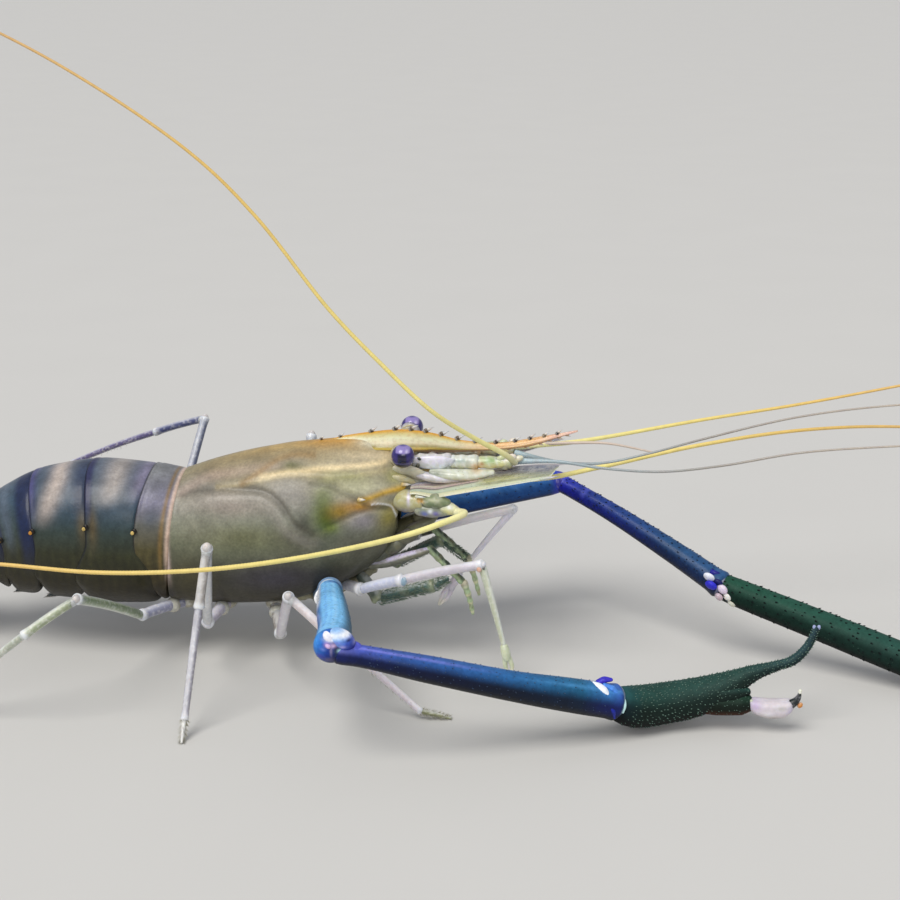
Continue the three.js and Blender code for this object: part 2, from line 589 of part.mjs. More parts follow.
for (const side of [RIGHT, LEFT]) {
  const name = SIDE_NAMES[side];
  add(`eye_${name}`, eye(side), 'eye', 0.15);
  const stalk = fit(eyeStalk(side), eye(side, GAP), aroundHead, aroundCarapace, aroundRostrum);
  add(`eye_stalk_${name}`, stalk, 'stalk');
  const around = [aroundHead, aroundCarapace, aroundRostrum, eye(side, GAP), eyeStalk(side, GAP)];
  add(`antennule_base_${name}`, fit(antennulePeduncle(side), ...around), 'peduncle');
  const base = fit(antennaPeduncle(side), aroundHead, aroundCarapace, aroundMouth);
  add(`antenna_base_${name}`, base, 'peduncle');
  const bases = [antennulePeduncle(side, GAP), antennaPeduncle(side, GAP)];
  const thread = `antennule_thread_${name}`;
  const aroundFeeler = feeler(FEELERS[`antennule_${name}`], 0, GAP);
  const aroundThread = feeler(THIN_FEELERS[thread], 0, GAP);
  const feet = [...bases, aroundFeeler, aroundThread];
  add(`antennal_scale_${name}`, fit(antennalScale(side), aroundHead, aroundCarapace, ...feet), 'scale');
  const pieces = {
    [`antennule_${name}`]: bases[0],
    [`antenna_${name}`]: bases[1],
  };
  for (const [key, root] of Object.entries(pieces)) {
    for (let part = 0; part < FEELERS[key].parts; part += 1) {
      let length = feeler(FEELERS[key], part);
      if (key === 'antennule_left' && part === 0) {
        length = length.add(sideBranch(side));
      }
      add(`${key}_${part + 1}`, fit(length, root), 'feeler', 0.45);
    }
  }
  add(thread, fit(feeler(THIN_FEELERS[thread], 0), bases[0], aroundFeeler), 'thread');
}

const aroundBody = [aroundSternum, aroundCarapace, aroundMouth];
for (const [name, joints] of Object.entries(MAXILLIPEDS)) {
  add(name, fit(limb(joints), ...aroundBody), 'mouth', 0.6);
}
for (const [name, joints] of Object.entries(SLENDER_CLAWS)) {
  const maxilliped = MAXILLIPEDS[name.replace('leg_1', 'maxilliped')];
  const arm = ARMS[`${name.replace('leg_1', 'arm')}_ischium`];
  add(name, fit(limb(joints), ...aroundBody, limb(maxilliped, GAP), armLength(arm, 3, GAP)), 'leg');
}
for (const [name, joints] of Object.entries(WALKING_LEGS)) {
  add(name, aboveFloor(fit(limb(joints), ...aroundBody)), 'leg');
}

for (const side of [RIGHT, LEFT]) {
  const name = SIDE_NAMES[side];
  const path = (part) => ARMS[`arm_${name}_${part}`];
  const palm = side === RIGHT ? RIGHT_PALM : LEFT_PALM;
  const finger = side === RIGHT ? RIGHT_FINGER : LEFT_FINGER;
  const ischium = armLength(path('ischium'), 3);
  add(`arm_${name}_ischium`, fit(ischium, ...aroundBody, armLength(path('merus'), 5, GAP)), 'arm');
  add(`arm_${name}_merus`, fit(armLength(path('merus'), 5), armLength(path('carpus'), 6, GAP)), 'arm');
  add(`arm_${name}_carpus`, fit(armLength(path('carpus'), 6), armLength(palm, 12, GAP)), 'arm');
  add(`arm_${name}_palm`, aboveFloor(fit(armLength(palm, 12))), 'claw');
  add(`arm_${name}_finger`, aboveFloor(fit(armLength(finger, 8), armLength(palm, 12, GAP))), 'finger');
}

const bounds = new THREE.Box3().setFromObject(prawn);
const middle = bounds.getCenter(new THREE.Vector3());
prawn.position.set(-middle.x, -middle.y, -bounds.min.z);

export default prawn;
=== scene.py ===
"""Looks of a still, life-size giant river prawn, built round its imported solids.

Shapes are worked out in millimetres in the same axes as the solids' source: +X to the head, +Y to
the animal's left, +Z up, X = 0 at the eyes and Z = 0 on the floor. Form.piece turns them into
metres in the shared frame.
"""

import math

import bpy
import numpy as np
from mathutils import Matrix, Vector


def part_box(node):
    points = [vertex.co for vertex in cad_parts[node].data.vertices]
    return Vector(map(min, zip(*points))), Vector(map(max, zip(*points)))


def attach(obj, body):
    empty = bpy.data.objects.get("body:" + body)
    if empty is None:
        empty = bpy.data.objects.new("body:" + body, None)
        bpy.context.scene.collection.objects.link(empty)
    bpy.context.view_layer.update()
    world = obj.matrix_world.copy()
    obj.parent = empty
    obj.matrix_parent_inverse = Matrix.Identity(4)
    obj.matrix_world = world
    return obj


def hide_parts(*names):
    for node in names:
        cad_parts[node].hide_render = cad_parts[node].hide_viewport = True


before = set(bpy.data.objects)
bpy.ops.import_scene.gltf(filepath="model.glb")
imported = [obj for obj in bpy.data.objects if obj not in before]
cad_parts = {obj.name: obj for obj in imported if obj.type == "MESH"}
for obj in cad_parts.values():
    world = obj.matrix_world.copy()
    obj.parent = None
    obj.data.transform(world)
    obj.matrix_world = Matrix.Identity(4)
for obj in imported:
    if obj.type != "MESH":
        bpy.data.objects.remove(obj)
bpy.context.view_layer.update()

# ---------------------------------------------------------------- measures

MM = 0.001
RIGHT, LEFT = -1, 1
SIDES = {"right": RIGHT, "left": LEFT}
EYE_RADIUS = 3.7
EYE_HEIGHT = 69.2
EYE_OUT = 15
PATCH = 0.003         # how wide a tuft is on the map that its colours are baked on
SPIKE_ROOT = 0.15     # how deep a spike is rooted, as a share of its length
SPIKE_WAIST = 0.62    # a spike's width halfway up, as a share of its width at the root

UP = np.array([0.0, 0.0, 1.0])

# Where X = 0, Y = 0 of the millimetre axes lies in the shared frame, in metres.
eye_low, eye_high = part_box("eye_right")
SHIFT = np.array((eye_low + eye_high) / 2) - np.array([0, -EYE_OUT, EYE_HEIGHT]) * MM
SHIFT[2] = 0

# Rings of the trunk, as in the solids: crest x and z, margin x and z, half width, bow, ridge.
CARAPACE_RINGS = [
    (-70.5, 58.3, -74.5, 17.2, 19.6, 0, 0.04),
    (-60, 62, -62, 16.6, 20.9, 0, 0.06),
    (-48, 65.3, -49, 16.8, 21, 0, 0.1),
    (-36, 67.6, -37, 18, 20.4, 0, 0.16),
    (-25, 69.2, -26, 21.6, 19.2, 0, 0.24),
    (-15, 70.3, -15.5, 26.5, 17.4, 0, 0.32),
    (-8, 70.9, -7, 33, 15, 0, 0.4),
    (-3, 71.2, -3, 41, 12.2, 0.5, 0.5),
]
TAIL_RINGS = [
    (-70.5, 57.8, -74.5, 17.6, 18.6, 0, 0.02),
    (-80.3, 59.4, -79, 16.8, 19, 3.6, 0.02),
    (-100.4, 60.5, -101, 16.4, 19.2, -2.6, 0.02),
    (-119.3, 56.6, -115, 17.2, 18, -2.4, 0.06),
    (-131.8, 49.8, -126, 18, 15.6, -3.2, 0.06),
    (-141.4, 42.4, -133, 20.6, 12.4, -2, 0.08),
    (-153, 30.4, -142.5, 15.6, 7.6, 0, 0.1),
]
SHELL_THICKNESS = 0.9
TROUGH_TOP = 27
SWIMMERETS = [(-75.6, 0.9), (-87, 1), (-104, 1), (-116, 0.85), (-127.6, 0.5)]

# Joints of the limbs from the body outwards, as [x, y, z, radius].
WALKING_LEGS = {
    "leg_3_right": [(-42, -8, 17, 2.2), (-38, -22, 12.4, 1.75), (-31, -45, 35, 1.6),
                    (-19.5, -48, 25.4, 1.35), (8, -51, 2.4, 0.95), (17, -50.5, 0.1, 0.7)],
    "leg_4_right": [(-57, -8, 17, 2.2), (-60, -25.6, 17.2, 1.75), (-54, -47, 50.4, 1.55),
                    (-56, -52, 34, 1.45), (-58.6, -65.5, 5, 1.05), (-58.6, -70.8, -0.4, 0.6)],
    "leg_5_right": [(-70, -8, 17, 2.2), (-81.7, -22, 17.5, 1.7), (-90.2, -57, 37.7, 1.5),
                    (-104.5, -63.4, 28.7, 1.35), (-132, -60.5, 4.6, 1), (-137.4, -60, -0.2, 0.6)],
    "leg_3_left": [(-42, 8, 17, 2.2), (-39, 22, 20, 1.75), (-37.4, 45, 56, 1.6),
                   (-35, 56, 42, 1.4), (-28, 66, 5, 1), (-26.8, 69.6, -0.5, 0.6)],
    "leg_4_left": [(-57, 8, 17, 2.2), (-57, 22, 18, 1.75), (-53, 50, 46, 1.6),
                   (-55, 60, 33, 1.4), (-58, 70, 5, 1), (-58.6, 73.6, -0.5, 0.6)],
    "leg_5_left": [(-70, 8, 17, 2.2), (-83, 26, 23, 1.7), (-75.2, 50, 59.8, 1.45),
                   (-93.6, 53, 53.6, 1.3), (-127, 61.6, 38.5, 1), (-136, 63.5, 31, 0.4)],
}
SLENDER_CLAWS = {
    "leg_1_right": [(-20, -6, 23, 2.1), (-14, -12, 24, 1.9), (-0.4, -18, 30, 1.8),
                    (24.5, -25, 38.6, 1.5), (31.6, -28, 13.4, 1.2), (33.8, -29, 4.4, 0.45)],
    "leg_1_left": [(-20, 6, 23, 2.1), (-10, 8.4, 28, 1.9), (2, 9, 35, 1.7),
                   (33, 12, 43.2, 1.45), (15.8, 6.5, 22.5, 1.2), (9.4, 4, 12.6, 0.45)],
}
MAXILLIPEDS = {
    "maxilliped_right": [(-15, -5, 26, 2.2), (-8.8, -8.5, 19.5, 2.1), (8.6, -10, 25, 1.9),
                         (13.2, -10, 27.6, 1.4), (21.1, -10, 16, 0.7)],
    "maxilliped_left": [(-13, 5, 28, 2.2), (-4, 7.5, 26, 2.1), (10.3, 4.6, 35, 1.8),
                        (18.4, 4, 29, 1.3), (22.3, 4, 16.6, 0.7)],
}
# Each maxilliped's slender branch: its elbow, then its course from the mouth to there.
MOUTH_BRANCHES = {
    "maxilliped_right": np.array([(18.4, -10.4, 26.2), (7.4, -8.6, 37), (13, -9.6, 31.6)]),
    "maxilliped_left": np.array([(18.6, 4, 28.8), (8, 4.4, 38.4), (13.6, 4.2, 33.4)]),
}
ARMS = {
    "arm_right_ischium": [(-27, -7, 20, 3.1), (-24.5, -16, 23.5, 3.3), (-21.7, -25, 29, 3.6)],
    "arm_right_merus": [(-21.7, -26, 29.4, 3.7), (-18, -46, 31.6, 4.6), (-14.8, -64, 33.4, 4.8),
                        (-13.2, -80, 35.2, 4.8)],
    "arm_right_carpus": [(-11.6, -80.4, 34.4, 3.2), (-5, -79, 32.8, 3.1), (12, -75.6, 28, 3.8),
                         (36, -68, 19.8, 4.3), (52, -62.6, 14.9, 4.9), (64, -58, 11, 5)],
    "arm_left_ischium": [(-24, 8, 22, 3.1), (-15, 14, 27.5, 3.3), (-6, 19, 36, 3.5)],
    "arm_left_merus": [(-6, 19, 36, 3.4), (12, 24.6, 39.4, 3.7), (30, 30, 42.4, 4),
                       (46.4, 35, 45, 4.3)],
    "arm_left_carpus": [(46.6, 35, 45.2, 3.1), (52, 31.4, 43.4, 2.9), (66, 22, 38.4, 3.1),
                        (86, 8.6, 29.9, 3.7), (98.6, 0, 24, 4.1)],
    "arm_right_palm": [(64.4, -57.6, 10.6, 4.9), (70, -54.6, 8, 6), (78, -51, 7.4, 6),
                       (88, -49.4, 9, 5.6), (96, -48.8, 12, 4.5), (103.6, -48.4, 16.4, 2.5),
                       (110.6, -47.8, 18.9, 1.5), (115.6, -47.1, 20.6, 1.4),
                       (119.6, -46.5, 25.2, 1.2), (121.6, -46, 30.4, 0.8)],
    "arm_left_palm": [(98.2, 0.2, 23.8, 4), (104, -1.8, 22, 4.4), (122.5, -9, 17.4, 4.7),
                      (151.7, -19.6, 9.6, 5), (168, -25.4, 5, 4.7), (182, -30.4, 2.8, 3.1),
                      (200, -36.4, 2, 2.5), (214, -42.4, 1.6, 1.9), (220, -46.6, 2, 0.9)],
    "arm_left_finger": [(168, -20, 8, 2.4), (176, -21, 7.8, 2.8), (192, -28.2, 6, 2.4),
                        (206, -35, 4.6, 1.9), (214, -40.6, 5.4, 0.9)],
}

# Feelers from base to tip, the way their solids run.
FEELERS = {
    "antennule_right": [(33.6, -8, 65.6), (31, -13, 69.6), (21.6, -21, 77.4), (9.5, -30, 88.4),
                        (-4.9, -31, 102.6), (-19, -31, 117.7), (-39.5, -31, 144.5),
                        (-57.2, -31, 161.9), (-92.2, -31, 185.3), (-124, -31, 201),
                        (-158, -30, 214)],
    "antennule_left": [(33.6, 8, 65.4), (41, 7.6, 66.4), (49, 9, 66.8), (60, 14, 67.1),
                       (92, 26, 70), (124.6, 34, 73.7), (156.6, 38, 79.4), (196, 40, 88),
                       (232, 38, 98)],
    "antenna_right": [(16, -17, 52.4), (19, -22, 53.8), (12, -29, 52.8), (0.8, -34, 50.4),
                      (-26.7, -48, 48.6), (-53.9, -57, 47.7), (-81.4, -62, 48.2),
                      (-110, -64, 50.8), (-150, -65, 53), (-196, -62, 48), (-236, -56, 37)],
    "antenna_left": [(16, 17, 52.4), (28, 17.6, 51.2), (42.7, 20, 51.2), (60.4, 26, 53.3),
                     (93.4, 36, 58.4), (127.2, 44, 61.8), (161, 50, 61.9), (204, 53, 58),
                     (246, 52, 50)],
}
THREADS = {
    "antennule_thread_right": [(33.6, -6, 65.4), (47.4, -10, 66.8), (59.6, -12, 65.8),
                               (77.4, -14, 65.7), (95, -16, 68.6), (118, -18, 73.9),
                               (146.4, -20, 77.3), (182, -22, 80)],
    "antennule_thread_left": [(33.6, 6, 64), (47.4, 3, 62.4), (60, 3.4, 62.2), (75.2, 4, 65.6),
                              (90.4, 6, 69.6), (120.3, 7, 77.4), (150.4, 8, 81.6), (184, 9, 83)],
}


# ---------------------------------------------------------------- small geometry

def mix(a, b, share):
    return a + (b - a) * share


def unit(vectors):
    vectors = np.asarray(vectors, float)
    return vectors / np.maximum(np.linalg.norm(vectors, axis=-1, keepdims=True), 1e-9)


def step(value, low, high):
    """0 below low, 1 above high, and smooth between; low may be the larger of the two."""
    t = np.clip((value - low) / (high - low), 0, 1)
    return t * t * (3 - 2 * t)


def bell(value, centre, width):
    return np.exp(-(((value - centre) / width) ** 2))


def circle(count):
    """Sines and cosines of angles spaced evenly round a turn."""
    angle = np.linspace(0, 2 * np.pi, count, endpoint=False)
    return np.sin(angle), np.cos(angle)


def loft(x, y, z):
    """Rings of points, one ring for each row of the three coordinates."""
    return np.stack(np.broadcast_arrays(x, y, z), -1)


def smooth(values, share):
    """A Catmull-Rom curve through evenly numbered values, at shares of the way along."""
    values = np.asarray(values, float)
    last = len(values) - 1
    padded = np.concatenate([[2 * values[0] - values[1]], values, [2 * values[-1] - values[-2]]])
    place = np.clip(np.asarray(share, float), 0, 1) * last
    k = np.minimum(place.astype(int), last - 1)
    f = place - k
    if values.ndim > 1:
        f = f[..., None]
    a, b, c, d = padded[k], padded[k + 1], padded[k + 2], padded[k + 3]
    return 0.5 * (2 * b + (c - a) * f + (2 * a - 5 * b + 4 * c - d) * f**2
                  + (3 * b - a - 3 * c + d) * f**3)


class Route:
    """A centripetal Catmull-Rom curve through points, measured along its length."""

    def __init__(self, points, fine=40):
        p = np.asarray(points, float)[:, :3]
        p = np.vstack([2 * p[0] - p[1], p, 2 * p[-1] - p[-2]])
        dense, knots = [], [0]
        for i in range(1, len(p) - 2):
            gaps = [max(np.linalg.norm(p[i + k] - p[i + k - 1]) ** 0.5, 1e-3) for k in range(3)]
            before = ((p[i] - p[i - 1]) / gaps[0] - (p[i + 1] - p[i - 1]) / (gaps[0] + gaps[1])
                      + (p[i + 1] - p[i]) / gaps[1]) * gaps[1]
            after = ((p[i + 1] - p[i]) / gaps[1] - (p[i + 2] - p[i]) / (gaps[1] + gaps[2])
                     + (p[i + 2] - p[i + 1]) / gaps[2]) * gaps[1]
            t = np.linspace(0, 1, fine, endpoint=i == len(p) - 3)[:, None]
            a, b = p[i], p[i + 1]
            dense.append(a + before * t + (3 * (b - a) - 2 * before - after) * t**2
                         + (2 * (a - b) + before + after) * t**3)
            knots.append(knots[-1] + len(t))
        self.points = np.vstack(dense)
        steps = np.linalg.norm(np.diff(self.points, axis=0), axis=1)
        self.run = np.concatenate([[0], np.cumsum(steps)])
        self.length = self.run[-1]
        knots[-1] -= 1
        self.knots = self.run[knots] / self.length

    def at(self, share):
        run = np.clip(share, 0, 1) * self.length
        return np.stack([np.interp(run, self.run, self.points[:, k]) for k in range(3)], -1)

    def radius(self, radii, share):
        """Radii given at the route's own points, carried smoothly along it."""
        place = np.interp(share, self.knots, np.linspace(0, 1, len(self.knots)))
        return smooth(radii, place)


class Tube:
    """A line of centres with radii and with a frame at each that turns as little as it can."""

    def __init__(self, centres, radii, flat=1.0, lean=UP):
        self.centres = np.asarray(centres, float)
        self.radii = np.broadcast_to(np.asarray(radii, float), len(self.centres)).copy()
        self.flat = flat
        self.heads = unit(np.gradient(self.centres, axis=0))
        self.sides = np.empty_like(self.heads)
        first = np.cross(lean, self.heads[0])
        if np.linalg.norm(first) < 0.3:
            first = np.cross([1.0, 0, 0], self.heads[0])
        side = unit(first)
        for i, head in enumerate(self.heads):
            side = unit(side - head * side.dot(head))
            self.sides[i] = side
        self.ups = np.cross(self.heads, self.sides)
        run = np.concatenate([[0], np.cumsum(np.linalg.norm(np.diff(self.centres, axis=0), axis=1))])
        self.length = run[-1]
        self.shares = run / max(self.length, 1e-9)

    def spread(self, values, share):
        values = np.asarray(values, float)
        if values.ndim == 1:
            return np.interp(share, self.shares, values)
        return np.stack([np.interp(share, self.shares, values[:, k]) for k in range(3)], -1)

    def skin_at(self, share, angle):
        """Point, outward normal and heading at shares of the length and angles round it, with
        angle 0 on top and a quarter turn on the tube's side vector."""
        share, angle = np.broadcast_arrays(np.asarray(share, float), np.asarray(angle, float))
        side = self.spread(self.sides, share)
        up = self.spread(self.ups, share)
        out = np.sin(angle)[..., None] * side + np.cos(angle)[..., None] * up * self.flat
        point = self.spread(self.centres, share) + out * self.spread(self.radii, share)[..., None]
        return point, unit(out), unit(self.spread(self.heads, share))

    def rings(self, count):
        u, v = circle(count)
        out = u[:, None] * self.sides[:, None] + v[:, None] * self.ups[:, None] * self.flat
        return self.centres[:, None] + out * self.radii[:, None, None]

    def ends(self, dome):
        """The same tube with its two ends drawn in to rounded domes."""
        bend = np.radians([88, 70, 45, 20])
        first = self.centres[0] - self.heads[0] * dome * self.radii[0] * np.sin(bend)[:, None]
        last = self.centres[-1] + self.heads[-1] * dome * self.radii[-1] * np.sin(bend)[:, None]
        whole = Tube.__new__(Tube)
        whole.flat = self.flat
        whole.centres = np.vstack([first, self.centres, last[::-1]])
        narrow = np.cos(bend)
        whole.radii = np.concatenate([self.radii[0] * narrow, self.radii,
                                      self.radii[-1] * narrow[::-1]])
        for name in ("heads", "sides", "ups"):
            rows = getattr(self, name)
            setattr(whole, name, np.vstack([np.repeat(rows[:1], 4, 0), rows,
                                            np.repeat(rows[-1:], 4, 0)]))
        whole.shares = np.concatenate([np.zeros(4), self.shares, np.ones(4)])
        return whole


class Form:
    """Closed shapes gathered into one mesh. Each point has a tint and a mark, which the materials
    read; a tint may be a rule that takes points in millimetres."""

    def __init__(self):
        self.points, self.quads, self.triangles = [], [], []
        self.tint, self.mark, self.patch = [], [], []
        self.count = 0

    def add(self, points, quads, triangles, tint, mark=0.0, patch=None):
        points = np.asarray(points, float).reshape(-1, 3)
        quads = np.asarray(quads, int).reshape(-1, 4)
        triangles = np.asarray(triangles, int).reshape(-1, 3)
        fans = np.vstack([triangles, quads[:, [0, 1, 2]], quads[:, [0, 2, 3]]])
        a, b, c = (points[fans[:, k]] - points[0] for k in range(3))
        if (a * np.cross(b, c)).sum() < 0:
            quads, triangles = quads[:, ::-1], triangles[:, ::-1]
        tint = tint(points) if callable(tint) else tint
        self.points.append(points)
        self.quads.append(quads + self.count)
        self.triangles.append(triangles + self.count)
        self.tint.append(np.broadcast_to(tint, (len(points), 3)))
        self.mark.append(np.broadcast_to(mark, len(points)))
        self.patch.append(np.zeros((len(points), 2)) if patch is None else patch)
        self.count += len(points)

    def skin(self, rings, tint, mark=0.0, start=None, end=None):
        """Quads round a row of closed rings, drawn together to a point at each end."""
        n, m = rings.shape[:2]
        index = np.arange(n * m).reshape(n, m)
        beside = np.roll(index, -1, axis=1)
        quads = np.stack([index[:-1], beside[:-1], beside[1:], index[1:]], -1)
        first = rings[0].mean(0) if start is None else start
        last = rings[-1].mean(0) if end is None else end
        hubs = [np.full(m, n * m), np.full(m, n * m + 1)]
        triangles = np.vstack([np.stack([hubs[0], beside[0], index[0]], -1),
                               np.stack([hubs[1], index[-1], beside[-1]], -1)])
        if not callable(tint):
            tint = np.broadcast_to(np.asarray(tint, float), (n, m, 3))
            tint = np.vstack([tint.reshape(-1, 3), tint[0, :1], tint[-1, :1]])
        self.add(np.vstack([rings.reshape(-1, 3), first, last]), quads, triangles, tint, mark)

    def tube(self, tube, tint, count=16, dome=0.5):
        """A tube with rounded ends. Its tint may be a rule that takes the share of its length and
        the angle round it."""
        whole = tube.ends(dome)
        if callable(tint):
            angle = np.linspace(0, 2 * np.pi, count, endpoint=False)
            tint = tint(*np.broadcast_arrays(whole.shares[:, None], angle))
        self.skin(whole.rings(count), tint)

    def ball(self, centre, radii, tint, count=16, axis=UP, mark=0.0):
        """An oval body; the last of its three radii lies along its axis."""
        centre = np.asarray(centre, float)
        axis = unit(axis)
        side = unit(np.cross(axis, [0.3, 0.8, 0.5]))
        other = np.cross(axis, side)
        turn = np.linspace(0, 2 * np.pi, count, endpoint=False)
        tilt = np.linspace(0, np.pi, count // 2 + 1)[1:-1]
        around = np.cos(turn)[:, None] * side * radii[0] + np.sin(turn)[:, None] * other * radii[1]
        rings = (centre + np.sin(tilt)[:, None, None] * around
                 - np.cos(tilt)[:, None, None] * axis * radii[2])
        self.skin(rings, tint, mark, centre - axis * radii[2], centre + axis * radii[2])

    def beads(self, side, rows, count, axis):
        """Oval bodies as (place, radii, colour), placed as on the left and then put on a side."""
        for place, radii, colour in rows:
            self.ball(np.array(place) * [1, side, 1], radii, rgb(*colour), count, axis)

    def spikes(self, roots, headings, lengths, radii, tints, bend=(0, 0, 0), sides=5, patch=None):
        """Slender spikes, each closed at its root. Their two tints are the root's and the tip's,
        and bend says where their tips are drawn, as a share of the length."""
        roots = np.asarray(roots, float).reshape(-1, 3)
        count = len(roots)
        headings = unit(np.broadcast_to(headings, (count, 3)))
        lengths = np.broadcast_to(lengths, count)[:, None]
        radii = np.broadcast_to(radii, count)[:, None, None]
        bend = np.broadcast_to(bend, (count, 3)) * lengths
        side = unit(np.cross(headings, [0.31, 0.74, 0.6]))
        other = np.cross(headings, side)
        turn = np.linspace(0, 2 * np.pi, sides, endpoint=False)
        circle = (np.cos(turn)[None, :, None] * side[:, None]
                  + np.sin(turn)[None, :, None] * other[:, None]) * radii
        middle = roots + headings * lengths * 0.5 + bend * 0.25
        points = np.concatenate([(roots - headings * lengths * SPIKE_ROOT)[:, None],
                                 roots[:, None] + circle, middle[:, None] + circle * SPIKE_WAIST,
                                 (roots + headings * lengths + bend)[:, None]], axis=1)
        width = points.shape[1]
        ring = 1 + np.arange(sides)
        after = 1 + (np.arange(sides) + 1) % sides
        base, tip = np.zeros(sides, int), np.full(sides, width - 1)
        quads = np.stack([ring, after, after + sides, ring + sides], -1)
        triangles = np.vstack([np.stack([base, after, ring], -1),
                               np.stack([tip, ring + sides, after + sides], -1)])
        offsets = (np.arange(count) * width)[:, None, None]
        levels = np.array([0] + [0] * sides + [0.5] * sides + [1])[:, None]
        tint = np.tile(tints[0] + (tints[1] - tints[0]) * levels, (count, 1))
        if patch is not None:
            spot = PATCH / 2 * np.hstack([levels * 2 - 1, np.linspace(-1, 1, width)[:, None]])
            patch = (np.asarray(patch)[:, None] + spot).reshape(-1, 2)
        self.add(points, quads[None] + offsets, triangles[None] + offsets, tint, patch=patch)

    def piece(self, name, material, slot, *nodes):
        """The gathered mesh as an object that rides the body and stands for these nodes."""
        quads = np.concatenate(self.quads)
        triangles = np.concatenate(self.triangles)
        corners = np.concatenate([quads.ravel(), triangles.ravel()]).astype(np.int32)
        starts = np.concatenate([np.arange(len(quads)) * 4,
                                 quads.size + np.arange(len(triangles)) * 3]).astype(np.int32)
        points = np.concatenate(self.points)
        points[:, 2] = np.maximum(points[:, 2], 0)
        points = points * MM + SHIFT
        mesh = bpy.data.meshes.new(name)
        mesh.vertices.add(len(points))
        mesh.vertices.foreach_set("co", points.astype(np.float32).ravel())
        mesh.loops.add(len(corners))
        mesh.loops.foreach_set("vertex_index", corners)
        mesh.polygons.add(len(starts))
        mesh.polygons.foreach_set("loop_start", starts)
        mesh.update(calc_edges=True)
        mesh.shade_smooth()
        tint = np.hstack([np.concatenate(self.tint), np.ones((len(points), 1))])
        tint = np.clip(tint, 0, 1).astype(np.float32)
        mesh.attributes.new("tint", "FLOAT_COLOR", "POINT").data.foreach_set("color", tint.ravel())
        mark = np.concatenate(self.mark).astype(np.float32)
        mesh.attributes.new("mark", "FLOAT", "POINT").data.foreach_set("value", mark)
        patch = np.concatenate(self.patch)
        if patch.any():
            places = mesh.uv_layers.new(name="OFBake")
            places.data.foreach_set("uv", patch[corners].astype(np.float32).ravel())
        mesh.materials.append(material)
        made = bpy.data.objects.new(name, mesh)
        bpy.context.scene.collection.objects.link(made)
        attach(made, "root")
        if nodes:
            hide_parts(*nodes)


# ---------------------------------------------------------------- colours

def rgb(red, green, blue):
    """A colour named in everyday values up to 255, as the linear numbers that shaders mix."""
    value = np.array([red, green, blue]) / 255
    return np.where(value <= 0.04045, value / 12.92, ((value + 0.055) / 1.055) ** 2.4)


def blend(under, over, share):
    return under + (over - under) * np.asarray(share, float)[..., None]


def coats(tint, *layers):
    """A tint under layers of (red, green, blue, share)."""
    for *colour, share in layers:
        tint = blend(tint, rgb(*colour), share)
    return tint


def ramp(share, *stops):
    """The colour at a share of the way along stops of (place, red, green, blue)."""
    places = [stop[0] for stop in stops]
    colours = np.array([rgb(*stop[1:]) for stop in stops])
    return np.stack([np.interp(share, places, colours[:, k]) for k in range(3)], -1)


PALE = (240, 242, 245)
WHITE = rgb(*PALE)
LILAC = rgb(196, 184, 214)
NIGHT = rgb(20, 24, 40)


# ---------------------------------------------------------------- materials

class Wire:
    """A value in a node tree, with plain arithmetic."""

    def __init__(self, graph, socket):
        self.graph, self.socket = graph, socket

    def __add__(self, other):
        return self.graph.math("ADD", self, other)

    def __mul__(self, other):
        return self.graph.math("MULTIPLY", self, other)


class Graph:
    """The node tree of one material. Its textures are sized in millimetres on the object."""

    def __init__(self, name):
        self.material = bpy.data.materials.new(name)
        self.material.use_nodes = True
        self.tree = self.material.node_tree
        self.tree.nodes.clear()
        self.shader = self.node("BsdfPrincipled")
        self.tree.links.new(self.shader.outputs[0], self.node("OutputMaterial").inputs[0])
        self.place = Wire(self, self.node("TexCoord").outputs["Object"])

    def node(self, kind, **settings):
        made = self.tree.nodes.new("ShaderNode" + kind)
        for key, value in settings.items():
            setattr(made, key, value)
        return made

    def put(self, value, socket):
        if isinstance(value, Wire):
            self.tree.links.new(value.socket, socket)
        elif len(np.shape(value)) and socket.type == "RGBA":
            socket.default_value = (*value, 1)
        else:
            socket.default_value = value

    def math(self, operation, *values):
        made = self.node("Math", operation=operation)
        for value, socket in zip(values, made.inputs):
            self.put(value, socket)
        return Wire(self, made.outputs[0])

    def step(self, value, low, high):
        made = self.node("MapRange", interpolation_type="SMOOTHSTEP")
        for number, socket in zip((value, low, high), made.inputs):
            self.put(number, socket)
        return Wire(self, made.outputs[0])

    def attribute(self, name, output="Fac"):
        return Wire(self, self.node("Attribute", attribute_name=name).outputs[output])

    def noise(self, size, detail=2.0):
        made = self.node("TexNoise")
        self.put(self.place, made.inputs["Vector"])
        made.inputs["Scale"].default_value = 1 / (size * MM)
        made.inputs["Detail"].default_value = detail
        return Wire(self, made.outputs[0])

    def cells(self, size):
        """The distance to the nearest of many scattered points, as a share of their spacing."""
        made = self.node("TexVoronoi")
        self.put(self.place, made.inputs["Vector"])
        made.inputs["Scale"].default_value = 1 / (size * MM)
        return Wire(self, made.outputs["Distance"])

    def scaled(self, colour, factor):
        made = self.node("VectorMath", operation="SCALE")
        self.put(colour, made.inputs[0])
        self.put(factor, made.inputs["Scale"])
        return Wire(self, made.outputs[0])

    def mix(self, share, under, over):
        made = self.node("Mix", data_type="RGBA")
        for value, index in ((share, 0), (under, 6), (over, 7)):
            self.put(value, made.inputs[index])
        return Wire(self, made.outputs[2])

    def bump(self, height, depth, under=None):
        made = self.node("Bump")
        made.inputs["Distance"].default_value = depth * MM
        self.put(height, made.inputs["Height"])
        if under:
            self.put(under, made.inputs["Normal"])
        return Wire(self, made.outputs[0])


CLOUD_EDGE = (0.46, 0.68)    # the noise at which a soft patch starts, and at which it is full


